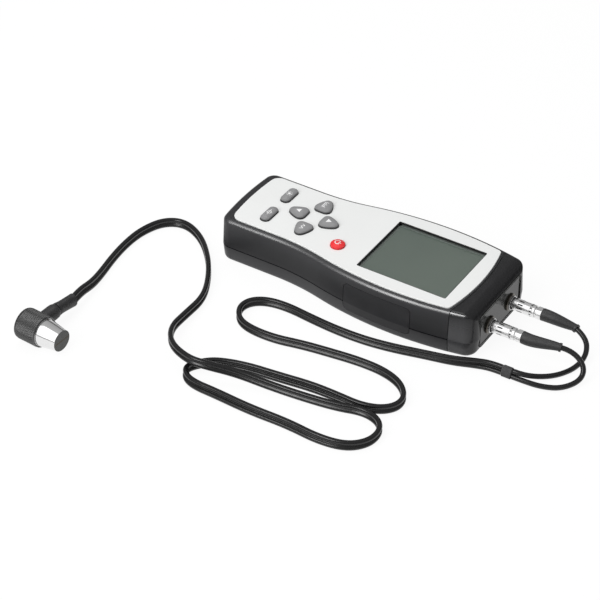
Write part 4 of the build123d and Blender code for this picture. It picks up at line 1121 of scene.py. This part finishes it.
# The frame on the plate's edge carries a painted highlight.
edge = flat_frame("plate_edge_highlight", plate_low.xz, plate_high.xz, 0.0, width=0.25, corner=1.6, thickness=0.1,
                  place=facing_socket_end(plate_high.y + hairline))
declare(edge, "gauge", "plate", painted_edge_highlight)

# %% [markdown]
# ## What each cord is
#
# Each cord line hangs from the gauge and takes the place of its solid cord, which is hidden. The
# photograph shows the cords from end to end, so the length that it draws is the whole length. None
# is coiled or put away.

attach(twin_cable_line, "gauge")
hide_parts("twin_cable")
for line, points, use, length in ((near_lead_line, near_lead_points, "near", 0.056),
                                  (far_lead_line, far_lead_points, "far", 0.057)):
    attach(line, "gauge")
    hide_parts(f"lead_{use}")

# %% [markdown]
# ## Dressing the solids
#
# Each piece of the real gauge has one finish, as it comes out of one mould or off one machine. A
# solid keeps its shape and gets its finish in its material slots. The new pieces took theirs where
# they were made.

# %% Give every solid its finish
finish_of = {
    case_plastic: ["front_case", "rear_case", "battery_door"],
    cap_plastic: ["end_cap"],
    plate_plastic: ["socket_plate"],
    panel_lacquer: ["face_panel"],
    grip_rubber: ["side_grip_left", "side_grip_right"],
    window_acrylic: ["display_window"],
    display_polariser: ["display_glass"],
    milky_plastic: ["display_backlight", "display_frame"],
    key_rubber: crowned_names,
    red_rubber: ["key_power"],
    socket_chrome: ["socket_near", "socket_far"],
    dark_metal: ["socket_washer_near", "socket_washer_far"],
    plug_chrome: [f"plug_{piece}_{use}" for piece in ("body", "sleeve", "nut") for use in near_and_far],
    boot_rubber: ["plug_boot_near", "plug_boot_far", "lead_splitter", "probe_boot", "cable_wrap"],
    cone_chrome: ["probe_body"],
    grip_black: ["probe_cap"],
    wearing_resin: ["probe_delay_transmit", "probe_delay_receive"],
    cork: ["probe_barrier"],
    silvered_ceramic: ["probe_crystal_transmit", "probe_crystal_receive"],
    cast_resin: ["probe_backing"],
    solder_mask: ["main_board", "keypad_film"],
    chip_epoxy: ["processor_chip", "amplifier_chip"],
    coil_wire: ["pulser_coil"],
    mat_rubber: ["keypad_mat"],
    cell_sleeve: ["battery_left", "battery_right"],
    plated_steel: ["battery_contacts", "battery_springs", "socket_nut_near", "socket_nut_far"],
    black_steel: ["case_screws"],
}
for finish, names in finish_of.items():
    for name in names:
        dress(nodes[name], finish)
cord_lines = [twin_cable_line, near_lead_line, far_lead_line]
for line in cord_lines:
    dress(line, cord_rubber)
print("finishes:", len(finish_of), "on", sum(len(names) for names in finish_of.values()), "solids")

# %% [markdown]
# ## Table
#
# The picture has a white ground. A white plane lit by lamps would turn grey in its corners. So most
# of what the camera and mirrors see of this table is a white glow, and a tenth is a plain white
# surface that takes the object's shadow. The table lies a hair below the gauge: two faces in one
# plane would flicker through each other.

# %% Table
table_drop = 0.02 * millimetre
glow_share = 0.9
bpy.ops.mesh.primitive_plane_add(size=6.0, location=(0, 0, -table_drop))
table = bpy.context.object
table.name = "table_top"
table_white = bpy.data.materials.new("table_white")
table_white.use_nodes = True
tree = table_white.node_tree
matt_white = shader_of(table_white)
fill_by_name(matt_white, Base_Color=(0.85, 0.85, 0.85, 1.0), Roughness=0.6, Specular_IOR_Level=0.0)
ray = add_node(tree, "LightPath").outputs
seen = work_out(tree, "ADD", ray["Is Camera Ray"], ray["Is Glossy Ray"])
seen = work_out(tree, "ADD", seen, ray["Is Transmission Ray"])
mix = add_node(tree, "MixShader", Fac=work_out(tree, "MULTIPLY", seen, glow_share))
fill(mix.inputs[1], matt_white.outputs["BSDF"])
fill(mix.inputs[2], add_node(tree, "Emission", Strength=1.025).outputs["Emission"])
fill_by_name(tree.nodes["Material Output"], Surface=mix.outputs["Shader"])
dress(table, table_white)
print("table", round(table_drop / millimetre, 3), "mm below the gauge")

# %% [markdown]
# ## Sky
#
# Polished metal shows the room. A plain bright sky would leave it flat, and a photograph of a room
# would be a file. So the sky is a ramp by height: bright overhead, with a dark ring low down that
# the metal shows as streaks.

# %% Sky
sky_steps = [(0.0, 0.25), (0.02, 0.62), (0.2, 0.75), (0.27, 0.12), (0.36, 0.12), (0.44, 0.6), (1.0, 0.85)]
world = bpy.data.worlds.new("studio")
bpy.context.scene.world = world
world.use_nodes = True
tree = world.node_tree
direction = add_node(tree, "TexCoord").outputs["Generated"]
sky_height = add_node(tree, "SeparateXYZ", Vector=direction).outputs["Z"]
sky_stops = [(height, (level, level, level, 1.0)) for height, level in sky_steps]
sky_colour = add_ramp(tree, sky_height, sky_stops)
fill_by_name(tree.nodes["Background"], Color=sky_colour, Strength=0.62)
print("sky of", len(sky_steps), "steps")

# %% [markdown]
# ## Lamps
#
# A photographer lights metal, black plastic and cable each in their own way, and hides the rest
# with flags. One lamp for all would burn out the chrome before the shell showed a highlight. In
# Blender a lamp can be linked to the pieces that it lights, or told which to leave out:
#
# - a soft lamp overhead and one beside the camera light all but the bright metal and the cords
# - a broad lamp, no brighter than the table, is mirrored by the metal
# - a small lamp draws one fine bright line along each round of the cords
# - a strip lamp draws the bright line on the shoulder of the black shell

# %% Helpers for lamps
def gather(name, pieces, state="INCLUDE"):
    """A collection that says which pieces a lamp lights, or which it leaves out."""
    group = bpy.data.collections.new(name)
    for piece in pieces:
        group.objects.link(piece)
    for member in group.collection_objects:
        member.light_linking.link_state = state
    return group


def soft_lamp(name, place, aim, width, height, power, receivers):
    """A flat lamp that looks at a point and lights what its receivers say."""
    lamp_data = bpy.data.lights.new(name, "AREA")
    lamp_data.shape = "RECTANGLE"
    lamp_data.size = width
    lamp_data.size_y = height
    lamp_data.energy = power
    lamp = put_in_scene(name, lamp_data)
    lamp.location = place
    lamp.rotation_euler = (Vector(aim) - Vector(place)).to_track_quat("-Z", "Y").to_euler()
    lamp.light_linking.receiver_collection = receivers
    print(name, "gives", power, "watts")


# %% Lamps and what each of them lights
bright_metal = [cone] + [bpy.data.objects[f"{piece}_{use}"] for use in near_and_far
                         for piece in ("latch_sleeve", "socket_rim", "plug_body", "plug_nut")]
black_shell = [nodes[name] for name in (
    "front_case", "rear_case", "end_cap", "side_grip_left", "side_grip_right")]
the_rest = gather("the_rest", bright_metal + cord_lines, "EXCLUDE")
side_place = (0.68, -0.22, 0.66)
side_aim = (0.03, 0.02, 0.0)
soft_lamp("overhead_lamp", (-0.25, -0.25, 0.85), (0.03, 0.0, 0.0), 0.6, 0.6, 2.1, the_rest)
soft_lamp("side_lamp", side_place, side_aim, 0.5, 0.9, 6.0, the_rest)
soft_lamp("metal_lamp", side_place, side_aim, 1.0, 1.4, 4.8, gather("bright_metal", bright_metal))
soft_lamp("cord_lamp", side_place, side_aim, 0.34, 0.34, 2.7, gather("cord_lines", cord_lines))
soft_lamp("shoulder_strip", (0.68, -0.27, 0.66), side_aim, 0.36, 0.9, 42.0,
          gather("black_shell", black_shell))
bpy.context.scene.view_settings.view_transform = "Standard"
